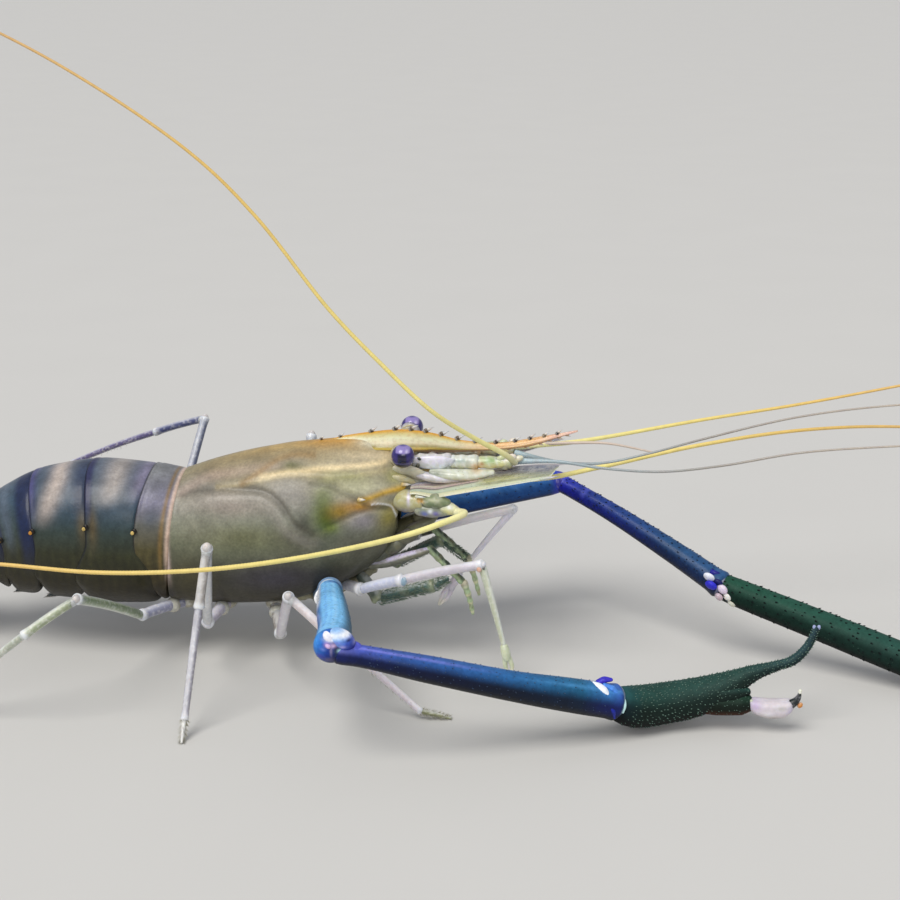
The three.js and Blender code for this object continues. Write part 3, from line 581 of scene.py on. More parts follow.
def finish(name, clouds, dots=(), rough=(0.3, 0.45), bumps=(), soft=0.3, coat=0.3, grains=(),
           clear=0.0, shine=0.5):
    """A surface that starts from the painted tint. clouds are soft patches as (size, colour,
    share), dots are scattered specks as (spacing, radius, colour, share), grains lighten and
    darken the whole as (size, share) and bumps are (size, depth), in millimetres. Where the mark
    is 1, the skin is soft instead of shell."""
    g = Graph(name)
    mark = g.attribute("mark")
    colour = g.attribute("tint", "Color")
    for size, tone, share in clouds:
        cover = g.step(g.noise(size, 3), *CLOUD_EDGE)
        colour = g.mix(cover * share, colour, tone)
    for spacing, radius, tone, share in dots:
        cover = g.step(g.cells(spacing), radius, radius * 0.4)
        thin = g.step(g.noise(spacing * 5), 0.4, 0.6)
        colour = g.mix(cover * thin * share, colour, tone)
    for size, share in grains:
        colour = g.scaled(colour, g.noise(size, 3) * (2 * share) + (1 - share))
    g.put(colour, g.shader.inputs["Base Color"])
    fine = g.noise(0.9, 3)
    g.put(fine * (rough[1] - rough[0]) + rough[0] + mark * 0.15, g.shader.inputs["Roughness"])
    normal = None
    for size, depth in bumps:
        normal = g.bump(g.noise(size, 2), depth, normal)
    if normal:
        g.put(normal, g.shader.inputs["Normal"])
    settings = {"Subsurface Weight": soft, "Subsurface Scale": 1.6 * MM, "Coat Weight": coat,
                "Coat Roughness": 0.18, "IOR": 1.45,
                "Transmission Weight": clear, "Specular IOR Level": shine}
    for key, value in settings.items():
        g.shader.inputs[key].default_value = value
    g.shader.inputs["Subsurface Radius"].default_value = (1.0, 0.8, 0.6)
    return g.material


# ---------------------------------------------------------------- trunk

def on_ring(rows, u, v, grow=0.0):
    """Points (u, v) of the trunk's outline on its rings; both run to 1 at the outside."""
    crest_x, crest_z, margin_x, margin_z, width, bow, ridge = np.moveaxis(rows, -1, 0)
    tall = np.hypot(crest_x - margin_x, crest_z - margin_z)
    height = (v + 1) / 2 + v * grow / tall
    x = mix(margin_x, crest_x, height) - bow * 4 * height * (1 - height)
    z = mix(margin_z, crest_z, height)
    narrow = 1 - ridge * np.maximum(v, 0) ** 2
    return np.stack(np.broadcast_arrays(x, u * (width * narrow + grow), z), -1)


def half_outline(count, end):
    """The outline from the crest down to a margin, evenly spaced: squarer below its middle."""
    angle = np.linspace(0, end, 600)
    power = np.where(np.cos(angle) < 0, 0.7, 1)
    u = np.sin(angle) ** power
    v = np.sign(np.cos(angle)) * np.abs(np.cos(angle)) ** power
    run = np.concatenate([[0], np.cumsum(np.hypot(np.diff(u) * 20, np.diff(v) * 24))])
    even = np.linspace(0, run[-1], count)
    return np.interp(even, run, u), np.interp(even, run, v)


def normals(grid):
    """Outward unit normals of a grid of points that runs forward and down the left side."""
    ahead = np.gradient(grid, axis=0)
    down = np.gradient(grid, axis=1)
    out = unit(np.cross(ahead, down))
    return out * np.where((out[..., 1:2] * grid[..., 1:2]).mean() < 0, -1, 1)


def mirrored(points):
    return points * np.array([1, -1, 1])


def closed_shell(outer, roof, thick):
    """Full rings from the left half of a shell: its outside, the thin margin, the inner face and
    the roof of the hollow below."""
    edge = outer[:, -1]
    steps = []
    for inward, upward in ((0.5, -0.35 * thick), (1, 0), (1.1, 0.45), (1.6, 1)):
        point = edge.copy()
        point[:, 1] = np.maximum(point[:, 1] - inward * thick, 0.4)
        point[:, 2] = mix(edge[:, 2], roof, upward) if upward > 0 else edge[:, 2] + upward
        steps.append(point)
    middle = steps[-1] * np.array([1, 0, 1])
    half = np.concatenate([outer[:, 1:], np.stack(steps, 1)], axis=1)
    crest = outer[:, :1] * np.array([1, 0, 1])
    return np.concatenate([crest, half, middle[:, None], mirrored(half)[:, ::-1]], axis=1)


def from_line(x, z, line):
    """How far points of the flank lie from a line of (x, z), above it positive, and how far along
    the line its nearest place is."""
    line = np.asarray(line, float)
    near = np.full(x.shape, 1e9)
    side = np.zeros(x.shape)
    share = np.zeros(x.shape)
    lengths = np.linalg.norm(np.diff(line, axis=0), axis=1)
    start = 0.0
    for (ax, az), (bx, bz), length in zip(line[:-1], line[1:], lengths):
        t = np.clip(((x - ax) * (bx - ax) + (z - az) * (bz - az)) / length**2, 0, 1)
        gap = np.hypot(x - ax - t * (bx - ax), z - az - t * (bz - az))
        turn = np.sign((bx - ax) * (z - az) - (bz - az) * (x - ax))
        closer = gap < near
        near = np.where(closer, gap, near)
        side = np.where(closer, turn, side)
        share = np.where(closer, start + t * length, share)
        start += length
    return near * np.where(side == 0, 1, side), share / start


def curve(points, count=40):
    """A smooth line through a few points of the flank."""
    return smooth(np.asarray(points, float), np.linspace(0, 1, count))


# Lines of the carapace as (x, z) on its flank.
BRANCHIAL_GROOVE = curve([(-69, 54), (-65.5, 55.3), (-59.3, 56.6), (-51.3, 57.2), (-42.8, 56.9),
                          (-37.2, 53.6), (-33, 48.1), (-27.7, 45)])
SHOULDER = curve([(-58, 57.2), (-50.5, 58.5), (-43.2, 60.3), (-36, 61.6), (-27.4, 61.6),
                  (-19.7, 61.4), (-6.1, 63)])
BACK_STRIP = curve([(-70, 54.6), (-62, 58.8), (-49.6, 61.8), (-41.8, 63.2), (-35.6, 64.4),
                    (-27, 65)])
PALE_LINE = curve([(-44, 60.6), (-36.7, 61.9), (-32.6, 62.3), (-27, 63.1), (-20.5, 63.6),
                   (-12.5, 64.3), (-6.1, 65.1)])
HOOK = curve([(-50, 58.6), (-42.8, 62.9), (-39.1, 65), (-34.3, 66.2), (-28.4, 66.3)])
HEPATIC = curve([(-28, 59.6), (-22.6, 59.2), (-17.9, 57.3), (-12.6, 55), (-9.6, 53.1), (-6, 52.6)])
PATCH_EDGE = curve([(-27.7, 45), (-25.9, 45.6), (-20.7, 48), (-13.2, 51), (-8.7, 51.8), (-3, 51.4)])
FRONT_RIM = curve([(-9.7, 53.6), (-7.2, 53.7), (-4.2, 52.8), (-3, 50.7), (-2.4, 47.9), (-2.4, 44)])
STREAK = curve([(-13.2, 54.5), (-10.5, 55.5), (-5.8, 57), (-0.2, 58.2)], 12)


def carapace_relief(grid):
    """How far the carapace swells or sinks at each point."""
    x, y, z = np.moveaxis(grid, -1, 0)
    out = np.zeros(x.shape)
    for line, depth, width in ((BRANCHIAL_GROOVE, 0.6, 1.0), (HEPATIC, 0.6, 0.9),
                               (PATCH_EDGE, 0.6, 0.9)):
        gap, share = from_line(x, z, line)
        faded = np.sin(np.pi * np.clip(share, 0.02, 0.98)) ** 0.5
        out -= depth * bell(gap, 0, width) * faded
        if line is BRANCHIAL_GROOVE:
            out += 0.5 * bell(gap, -2.6, 2.2) * faded
    for line, height, width in ((SHOULDER, 0.4, 1.2), (HOOK, 0.35, 1.4), (STREAK, 0.35, 0.7)):
        gap, share = from_line(x, z, line)
        out += height * bell(gap, 0, width) * np.sin(np.pi * np.clip(share, 0, 1)) ** 0.5
    out += 0.45 * bell(from_line(x, z, FRONT_RIM)[0], 0, 0.5)
    out += 0.25 * bell(x, -71.6, 0.8)
    return out


def patches(tint, x, z, rows):
    """Soft oval patches over the flank, as (x, z, half length, half height, colour, share)."""
    for middle_x, middle_z, long, tall, colour, share in rows:
        cover = np.exp(-(((x - middle_x) / long) ** 2) - ((z - middle_z) / tall) ** 2)
        tint = blend(tint, rgb(*colour), share * cover)
    return tint


# Patches of the gill cover and of the cheek, as (x, z, half length, half height, colour, share).
# The cheek is paler and greener than the gill cover, with a green and gold hollow.
GILL_COVER_PATCHES = (
    (-39, 30, 15, 5, (62, 58, 78), 0.6), (-50, 44, 17, 4, (110, 110, 64), 0.5),
    (-55, 53, 12, 3, (146, 130, 122), 0.6), (-35, 56.5, 7, 4.6, (134, 130, 124), 0.7),
    (-60, 60.6, 9, 2, (120, 104, 74), 0.6), (-29, 43, 9, 5, (88, 84, 70), 0.6),
    (-30, 48.4, 3, 4.4, (66, 66, 58), 0.8), (-14, 40, 7, 4, (98, 92, 84), 0.5),
    (-64, 47, 8, 6, (128, 126, 112), 0.5), (-66, 30, 6, 8, (70, 62, 30), 0.5),
)
CHEEK_PATCHES = (
    (-35.2, 63.9, 3.4, 1.1, (96, 98, 56), 0.85), (-14, 58.4, 8, 2.6, (182, 180, 146), 0.8),
    (-12, 66.6, 10, 1, (210, 194, 160), 0.6), (-18, 61.4, 7, 1.6, (150, 152, 96), 0.6),
    (-3, 61.4, 3, 2.6, (140, 138, 74), 0.75), (-1.2, 58, 2.4, 1.4, (158, 144, 80), 0.6),
    (-24.4, 54, 3.4, 5, (98, 112, 50), 0.85), (-23.4, 49.4, 3.6, 4.8, (72, 90, 20), 0.95),
    (-19, 51.6, 4, 2.8, (140, 112, 12), 0.9), (-21.8, 46.8, 2.2, 1.6, (104, 120, 40), 0.7),
    (-13, 53, 5, 1.7, (176, 126, 30), 0.9), (-12, 48.4, 4.6, 2.6, (142, 136, 142), 0.85),
    (-4.6, 48.6, 3.4, 4.6, (144, 134, 62), 0.9), (-2.6, 52, 2, 1.4, (160, 138, 62), 0.7),
    (-6, 42, 4, 3, (106, 102, 72), 0.6),
)


def carapace_tint(points):
    x, y, z = points.T

    def along(line, width, centre=0):
        """A soft stripe along a line of the flank, or beside it."""
        return bell(from_line(x, z, line)[0], centre, width)

    wave = 0.7 * np.sin(x * 0.21) + 0.5 * np.sin(x * 0.47 + 2)
    # Darker towards the bottom: partly the shell's own colour and partly painted shade below the lit top.
    tint = ramp(z + wave, (15, 46, 40, 28), (22, 54, 50, 36), (32, 70, 70, 56), (41, 106, 110, 90),
                (49, 132, 134, 120), (56, 138, 134, 122), (62, 146, 138, 112), (68, 150, 138, 108),
                (72, 182, 156, 108))
    above_strip = step(from_line(x, z, BACK_STRIP)[0], 0.6, 3)
    tint = coats(patches(tint, x, z, GILL_COVER_PATCHES),
                 (166, 160, 150, 0.45 * along(BRANCHIAL_GROOVE, 1.8, -3.2) * step(x, -20, -34)),
                 # A dark line in the branchial groove: painted shade.
                 (74, 70, 60, 0.6 * along(BRANCHIAL_GROOVE, 0.9, 0.2)),
                 (176, 156, 144, 0.5 * along(BACK_STRIP, 1.3) * step(x, -30, -38)),
                 (146, 134, 104, 0.6 * above_strip * step(x, -34, -48)),
                 (230, 208, 162, 0.8 * along(PALE_LINE, 0.8)),
                 (186, 170, 130, 0.5 * along(SHOULDER, 0.8)),
                 (150, 120, 76, 0.6 * along(HOOK, 0.9)))
    tint = coats(patches(tint, x, z, CHEEK_PATCHES),
                 (190, 150, 28, 0.85 * along(STREAK, 0.9)),
                 # A dark band just below the hepatic line: painted shade.
                 (70, 70, 50, 0.5 * along(HEPATIC, 0.8, -0.6)),
                 (*PALE, 0.65 * along(FRONT_RIM, 0.28)),
                 (222, 196, 190, 0.7 * bell(x, -73, 0.8) * step(z, 24, 34)),
                 (124, 108, 82, 0.55 * step(x, -34, -46) * step(z, 60, 67)))
    gold = ramp(x, (-70, 140, 130, 98), (-36, 186, 154, 90), (-26, 206, 150, 52), (-4, 216, 158, 52))
    tint = blend(tint, gold, 0.8 * bell(y, 0, 4) * step(z, 54, 60))
    return coats(tint, (230, 234, 214, 0.8 * step(x, -20, -8) * bell(z, 69.6, 1.1)))


def make_carapace(material):
    u, v = half_outline(88, 2.72)
    share = np.linspace(0, 1, 170)
    rows = smooth(CARAPACE_RINGS, share)[:, None]
    outer = on_ring(rows, u, v)
    # The front margin is cut back round the eye and runs out to a spine below it.
    front = step(share, 0.86, 1)[:, None]
    orbit = 1.2 * bell(v, 0.8, 0.12) - 4.4 * bell(v, 0.26, 0.26) - 1.6 * bell(v, -0.2, 0.3)
    outer[..., 0] -= front * orbit
    outer = outer + normals(outer) * carapace_relief(outer)[..., None]
    roof = smooth(np.array(CARAPACE_RINGS)[:, 3], share) + 6
    rings = closed_shell(outer, roof, SHELL_THICKNESS)
    middle = rings[-1].mean(0)
    inner = [mix(rings[-1], middle, inset) - np.array([back, 0, 0])
             for inset, back in ((0.015, -0.15), (0.05, 0.2), (0.1, 2), (0.16, 5))]
    rear = rings[0].mean(0)
    behind = [mix(rings[0], rear, inset) + np.array([ahead, 0, 0])
              for inset, ahead in ((0.1, 3), (0.04, 0.6), (0.01, -0.1))]
    rings = np.concatenate([behind, rings, inner])
    form = Form()
    form.skin(rings, carapace_tint)
    for side in SIDES.values():
        for x, y, z, length in ((-0.6, 12.3, 59.2, 3), (-13.5, 17.6, 55.8, 2.4)):
            form.spikes([x, side * y, z], [1, side * 0.12, 0.05], length, 0.7,
                        (rgb(210, 180, 110), WHITE), sides=8)
    form.piece("carapace_shell", material, "shell", "carapace")





# The rostrum: where its upper teeth stand along X, and its upper and lower edges as (x, z).
ROSTRUM_TEETH = [-27.4, -21.4, -11.8, -4.4, 0.6, 5.2, 10, 15, 20.6, 27, 33, 37.6, 42, 46]
ROSTRUM_TOP = [(-24, 69.3), (-21, 70.3), (-11, 72.1), (-2, 73), (7, 72.2), (17, 69.9), (29, 69.4),
               (41, 71.6), (52.6, 73.9)]
ROSTRUM_LOW = [(-24, 66), (-10, 65.8), (0, 65.6), (13, 65.8), (28, 66.9), (38, 68.3), (46.5, 71.2),
               (52.6, 73.3)]


def make_rostrum(material):
    upper, lower = (Route([(x, 0, z) for x, z in line]) for line in (ROSTRUM_TOP, ROSTRUM_LOW))
    share = np.linspace(0, 1, 190)
    top, low = upper.at(share), lower.at(share)
    x = top[:, 0]
    low_z = np.interp(x, low[:, 0], low[:, 2])
    wide = np.interp(x, [-24, -16, -9, -4, 2, 8, 14, 22, 35, 52.6],
                     [1.4, 3.4, 6, 6.2, 5, 3.6, 2.8, 2.4, 1.7, 0.7])
    # Height and half width round one section, of the roof over the eyes and of the blade ahead.
    heights = [1, 0.97, 0.88, 0.74, 0.58, 0.46, 0.36, 0.26, 0.14, 0.05, 0]
    roof = [0, 0.12, 0.3, 0.52, 0.74, 0.9, 1, 0.86, 0.5, 0.2, 0]
    blade = [0, 0.16, 0.24, 0.34, 0.6, 1, 0.85, 0.5, 0.3, 0.16, 0]
    ahead = step(x, 2, 22)
    rows = [loft(x, wide * mix(under, over, ahead), mix(low_z, top[:, 2], height))
            for height, under, over in zip(heights, roof, blade)]
    rows += [mirrored(row) for row in rows[-2:0:-1]]

    def tint(points):
        along, y, z = points.T
        place = (z - np.interp(along, x, low_z)) / np.interp(along, x, top[:, 2] - low_z)
        base = ramp(place, (0, 120, 86, 60), (0.1, 196, 140, 74), (0.2, 224, 178, 100),
                    (0.28, 176, 140, 60), (0.36, 226, 200, 96), (0.46, 150, 140, 84),
                    (0.56, 216, 206, 176), (0.7, 214, 210, 164), (0.82, 228, 234, 216),
                    (0.9, 196, 176, 76), (1, 222, 156, 44))
        front = ramp(place, (0, 206, 150, 84), (0.4, 236, 186, 122), (0.55, 206, 170, 130),
                     (0.75, 230, 180, 104), (1, 190, 140, 70))
        tone = blend(base, front, step(along, 12, 30))
        return coats(tone, (208, 164, 156, 0.85 * step(along, 36, 50)))

    form = Form()
    form.skin(np.stack(rows, 1), tint)
    tooth = np.array(ROSTRUM_TEETH)
    root_z = np.interp(tooth, x, top[:, 2]) - 0.1
    root_z[0] = 69.2
    slope = np.interp(tooth, x, np.gradient(top[:, 2], x))
    roots = loft(tooth, 0, root_z)
    sizes = np.interp(tooth, [-28, -8, 20, 46], [1.7, 3, 2.9, 2.2])
    # White tips: partly the teeth's clear tips and partly painted glints.
    form.spikes(roots, loft(1, 0, slope + 0.8), sizes * 1.1, sizes * 0.27,
                (rgb(150, 144, 136), WHITE), bend=[0.1, 0, -0.06], sides=8)
    # A dark bead in front of each tooth is painted shade, for the shaded pit there.
    for root, size in zip(roots, sizes):
        form.ball(root + [size * 0.2, 0, size * 0.12], (size * 0.26,) * 3, rgb(50, 38, 36), 12)
    below = np.array([8, 14, 20, 26, 31, 36.4, 40.8, 43.8, 46.6, 49])
    form.spikes(loft(below, 0, np.interp(below, x, low_z) + 0.3), [1, 0, -0.42], 1.8, 0.45,
                (rgb(190, 140, 80), WHITE), sides=8)
    form.piece("rostrum_blade", material, "rostrum", "rostrum")


# How far each tail ring reaches over the rings before and behind it low on the flank, and how far it
# stands proud of them there: the second ring overlaps both the first and the third.
TAIL_REACH = [(0, -0.05, 0), (0.34, 0.2, 0.9), (-0.05, 0.12, 0.1), (-0.05, 0.14, 0), (-0.05, 0.1, 0),
              (0, 0, 0)]



def tail_tint(index, points, share):
    """The paint of one tail ring, by height and by the share of its length from its front edge."""
    x, y, z = points.T
    drop = np.clip(57 - z, 0, 14)
    # Both height ramps grow darker towards the bottom: partly the ring's own colour and partly painted
    # shade.
    tone = ramp(z, (17, 36, 30, 18), (26, 44, 40, 22), (36, 48, 50, 30), (43, 50, 62, 58),
                (50, 48, 68, 84), (60, 80, 92, 108))
    if index == 0:
        tone = ramp(z, (17, 40, 32, 20), (28, 62, 54, 30), (38, 82, 76, 46), (46, 96, 96, 90),
                    (52, 112, 110, 132), (60, 122, 124, 124))
        tone = coats(tone, (48, 62, 80, 0.6 * bell(z, 48, 2.6) * bell(share, 0.62, 0.2)),
                     (136, 108, 58, 0.7 * bell(share, 0.32, 0.06) * step(z, 26, 38)),
                     (222, 196, 178, 0.85 * step(share, 0.26, 0.14) * step(z, 24, 38)))
    elif index == 1:
        band = bell(share, 0.56 + 0.014 * drop, 0.17)
        tone = coats(tone, (164, 156, 150, 0.85 * step(z, 49, 56) * band),
                     (136, 126, 150, 0.6 * step(z, 50, 57) * bell(share, 0.16, 0.14)),
                     (104, 88, 56, 0.7 * bell(z, 45, 6) * bell(share, 0.86, 0.09)),
                     (36, 36, 78, 0.85 * step(share, 0.84, 0.93) * step(z, 44, 54)))
    elif index == 2:
        band = bell(share, 0.5 + 0.024 * drop, 0.14)
        tone = coats(tone, (22, 32, 68, 0.6 * step(z, 44, 54) * step(share, 0.34, 0.16)),
                     (178, 166, 158, 0.95 * step(z, 42, 52) * band),
                     (72, 68, 116, 0.8 * step(share, 0.78, 0.96) * step(z, 42, 55)),
                     (104, 88, 56, 0.6 * bell(z, 45, 5) * bell(share, 0.14, 0.08)))
    else:
        tone = coats(tone, (22, 32, 68, 0.9 * step(z, 26, 40) * step(share, 0.5, 0.3)),
                     (86, 98, 112, 0.8 * step(z, 32, 44) * bell(share, 0.7, 0.16)),
                     (50, 52, 100, 0.6 * step(share, 0.86, 0.95) * step(z, 34, 44)))
    streaks = 0.5 + 0.5 * np.sin(x * 2.1 + 1.3 * np.sin(z * 0.4))
    return coats(tone, (22, 22, 18, 0.3 * streaks * step(z, 44, 34)),
                 (16, 18, 34, 0.9 * step(share, 0.965, 0.985) * step(z, 26, 40)))


def make_tail_ring(index, material, limb_material):
    front, back, proud = TAIL_REACH[index]
    last = index == len(TAIL_REACH) - 1
    u, v = half_outline(70, 2.62)
    t = np.linspace(0, 1, 46)[:, None]
    low = step(v, 0.1, -0.4)
    place = mix(-0.08 - front * low, 1.03 + back * low, t)
    rows = smooth(TAIL_RINGS, (index + place) / 6)
    grow = -0.75 * step(t, 0.16, 0) + 0.2 * step(t, 0.5, 1) + proud * low - 0.35 * step(t, 0.975, 1)
    outer = on_ring(rows, u, v, grow - 0.1 * bell(t, 0.9, 0.03))
    # Each side flap ends in a rounded lobe.
    outer[..., 2] += (2 * t - 1) ** 4 * step(v, -0.35, -1) * (2 if last else 7)
    outer[..., 1] *= 1 + 0.02 * np.sin(np.pi * t)
    edge = outer[:, -1, 2]
    roof = edge + 1.5 if last else np.maximum(TROUGH_TOP, edge + 0.5)
    rings = closed_shell(outer, roof, SHELL_THICKNESS)
    share = np.broadcast_to(t, rings.shape[:2])
    centre = rings[-1].mean(0)
    hind = [mix(rings[-1], centre, inset) + np.array([ahead, 0, 0])
            for inset, ahead in ((0.02, 0.1), (0.04, 1.4))]
    rings = np.concatenate([rings, hind])
    share = np.concatenate([share, np.ones((2, rings.shape[1]))])
    form = Form()
    tint = tail_tint(index, rings.reshape(-1, 3), share.ravel()).reshape(rings.shape)
    form.skin(rings, tint)
    # A gold hinge mark stands on each flank between two rings; the last ring has none.
    hinged_sides = [] if last else SIDES.values()
    for side in hinged_sides:
        hinge = on_ring(smooth(TAIL_RINGS, (index + 1.0) / 6), 1.0, 0.3 if index else 0.28, 0.2)
        gold = (206, 176, 104) if index < 2 else (196, 134, 50)
        for offset, radii, tone in (((0.1, 0.05, 0), (0.9, 1.15, 0.5), (30, 24, 18)),
                                    ((-0.3, 0.34, -0.3), (0.6, 0.75, 0.34), gold),
                                    ((0.35, 0.42, 0.3), (0.34, 0.34, 0.3), (20, 16, 14))):
            form.ball((hinge + offset) * [1, side, 1], radii, rgb(*tone), axis=[0, 1, 0])
    form.piece(f"tail_shell_{index + 1}", material, "tail_shell", f"tail_ring_{index + 1}")
    if index < len(SWIMMERETS):
        make_swimmerets(index, limb_material)


def make_swimmerets(index, material):
    root, size = SWIMMERETS[index]
    form = Form()
    tone, edge = rgb(150, 146, 128), rgb(96, 108, 112)
    for side in SIDES.values():
        base = np.array([root, side * 5.8, 26])
        elbow = np.array([root - 2.6 * size, side * 6, 26 - 4.6 * size])
        stem = Route([base + [1, 0, 2], base, elbow])
        form.tube(Tube(stem.at(np.linspace(0, 1, 10)), mix(2.1, 1.5, np.linspace(0, 1, 10)) * size),
                  tone, 12)
        for lean, length, wide in ((0.9, 11, 2.3), (-1.2, 9, 1.7)):
            tip = elbow + np.array([-length * 0.86, side * lean * 0.7, -length * 0.42]) * size
            bend = mix(elbow, tip, 0.5) + [0, side * 0.4 * lean, -0.9]
            path = Route([elbow, bend, tip])
            share = np.linspace(0, 1, 22)
            leaf = wide * size * np.sin(np.pi * mix(0.12, 0.94, share ** 0.8)) ** 0.7
            form.tube(Tube(path.at(share), leaf, flat=0.22),
                      lambda s, a: blend(tone, edge, step(s, 0.3, 1)), 14)
            spots = np.linspace(0.35, 1, 26)
            for turn in (0.5, -0.5):
                point, out, head = Tube(path.at(share), leaf, flat=0.22).skin_at(spots, turn * np.pi)
                form.spikes(point - out * 0.2, out + head * 1.4, 1.8 * size, 0.09,
                            (edge, rgb(176, 166, 150)), sides=3)
    form.piece(f"swimmerets_{index + 1}", material, "tail_shell")


# ---------------------------------------------------------------- tail fan

FAN_ROOT = np.array([-147, 0, 23])
FAN_PITCH = 46


def onto_fan(points, yaw, roll, lift):
    """Carries a flat form that points along -X onto the line of the fan."""
    pitch, yaw, roll = (Matrix.Rotation(math.radians(angle), 3, axis)
                        for angle, axis in ((-FAN_PITCH, "Y"), (yaw, "Z"), (roll, "X")))
    swung = np.asarray(points) @ np.array(yaw @ roll).T + [0, 0, lift]
    placed = swung @ np.array(pitch).T + FAN_ROOT
    placed[..., 2] = np.maximum(placed[..., 2], 0.0)
    return placed


def fan_tint(share, across):
    tone = ramp(share, (0, 104, 112, 112), (0.35, 64, 76, 100), (0.8, 50, 62, 96),
                (0.93, 120, 104, 110), (1, 190, 172, 160))
    return coats(tone, (176, 168, 160, 0.6 * bell(np.abs(across), 0.12, 0.1)))


def make_fan_blade(name, side, yaw, roll, lift, length, width, material):
    t = np.linspace(0, 1, 46)[:, None]
    u, v = circle(40)
    oval = width * np.sin(np.pi * mix(0.1, 0.9, t ** 0.8)) ** 0.7
    rib = 0.35 * bell(u, 0.05, 0.16) + 0.2 * bell(u, 0.72 * side, 0.1)
    z = np.sign(v) * np.abs(v) ** 0.6 * 0.5 * mix(1.6, 0.7, t) * (0.85 + rib)
    rings = loft(mix(1, -length, t), side * 3.6 + u * oval, z)

    def fold(points):
        return onto_fan(points, side * yaw, side * roll, lift)

    form = Form()
    form.skin(fold(rings), fan_tint(*np.broadcast_arrays(t, u)))
    spots = np.linspace(0.42, 0.995, 60)
    reach = np.interp(spots, t[:, 0], oval[:, 0])
    for edge in (-1, 1):
        root = loft(mix(1, -length, spots), side * 3.6 + edge * reach * 0.96, 0)
        away = loft(-0.9 - spots, edge * (1.3 - spots), 0)
        tip = fold(root + unit(away) * 2)
        root = fold(root)
        form.spikes(root, tip - root + 1e-6, 1.6, 0.1, (rgb(150, 136, 124), rgb(200, 186, 170)),
                    sides=3)
    form.piece(f"fan_{name}", material, "tail_fan", f"tail_fan_{name}")


def make_telson(material):
    t = np.linspace(0, 1, 50)
    u, v = circle(32)
    width, height = mix(6.2, 1.5, t ** 1.2), mix(3.4, 1, t)
    groove = 1 - 0.18 * bell(u, 0, 0.2) * (v > 0)
    rings = loft(mix(3, -30, t)[:, None], width[:, None] * u, height[:, None] * v * groove)
    form = Form()
    tint = ramp(t[:, None] + 0 * u, (0, 100, 108, 116), (0.4, 58, 68, 92), (1, 120, 108, 112))
    form.skin(onto_fan(rings, 0, 0, 3.4), tint)
    for share in (0.55, 0.78, 1.0):
        for side in SIDES.values():
            root = np.array([mix(3, -30, share), side * np.interp(share, t, width) * 0.6,
                             np.interp(share, t, height) * 0.5])
            root, ahead = onto_fan([root, root + [-2, side * 0.4, 0.5]], 0, 0, 3.4)
            form.spikes(root, ahead - root, 1.8, 0.3, (rgb(180, 170, 160), WHITE), sides=6)
    form.piece("telson_plate", material, "tail_fan", "telson")


# ---------------------------------------------------------------- underside and head

def make_underside(material):
    t = np.linspace(0, 1, 60)[:, None]
    u, v = circle(36)
    rise = 62 * np.maximum(0, t - 0.6) ** 2
    waist = 1 - 0.16 * np.cos(t * 2 * np.pi * 4.6) ** 8
    form = Form()
    form.skin(loft(mix(-72, -10, t), u * mix(8.5, 5, t) * waist, 18.6 + rise + v * 3.2 * waist),
              rgb(150, 146, 120))
    form.piece("underside_plates", material, "underside", "sternum")


def make_head(material):
    form = Form()
    t = np.linspace(0, 1, 40)[:, None]
    u, v = circle(40)
    end = np.sqrt(np.clip(1 - ((t - 0.8) / 0.22) ** 2, 0, 1)) * 0.6 + 0.4
    swell = (1 - 0.35 * t * t) * np.where(t > 0.8, end, 1)
    form.skin(loft(mix(-9, 3.4, t), u * 9 * swell, 55.4 + v * 8.2 * swell),
              lambda p: ramp(p[:, 2], (46, 130, 128, 90), (54, 206, 200, 168), (64, 216, 214, 206)))
    turn = np.radians(np.linspace(-100, -286, 44))
    radii = 0.35 * np.sin(np.pi * mix(0.08, 0.9, np.linspace(0, 1, 44))) ** 0.6
    for side in SIDES.values():
        # A low rim lies behind the eye, round a shallow bowl.
        ring = loft(3.5 * np.cos(turn) + 0.1, side * (11.2 - 0.5 * np.sin(turn)),
                    67.6 + 3.5 * np.sin(turn))
        form.tube(Tube(ring, radii), rgb(190, 178, 142), 14)
        form.beads(side, [((-1, 8.4, 67), (3.8, 3.8, 3.2), (184, 172, 134))], 30, [0, 1, 0])
        # Pale folds fill the space below the eye.
        form.beads(side, [((1.4, 9.8, 62.4), (3, 1.2, 5.4), (218, 212, 190)),
                          ((-0.4, 10.8, 60.2), (1.7, 1.1, 3.8), (198, 188, 146))],
                   30, [0.9, 0, -0.2])
    form.piece("head_front", material, "head", "head")


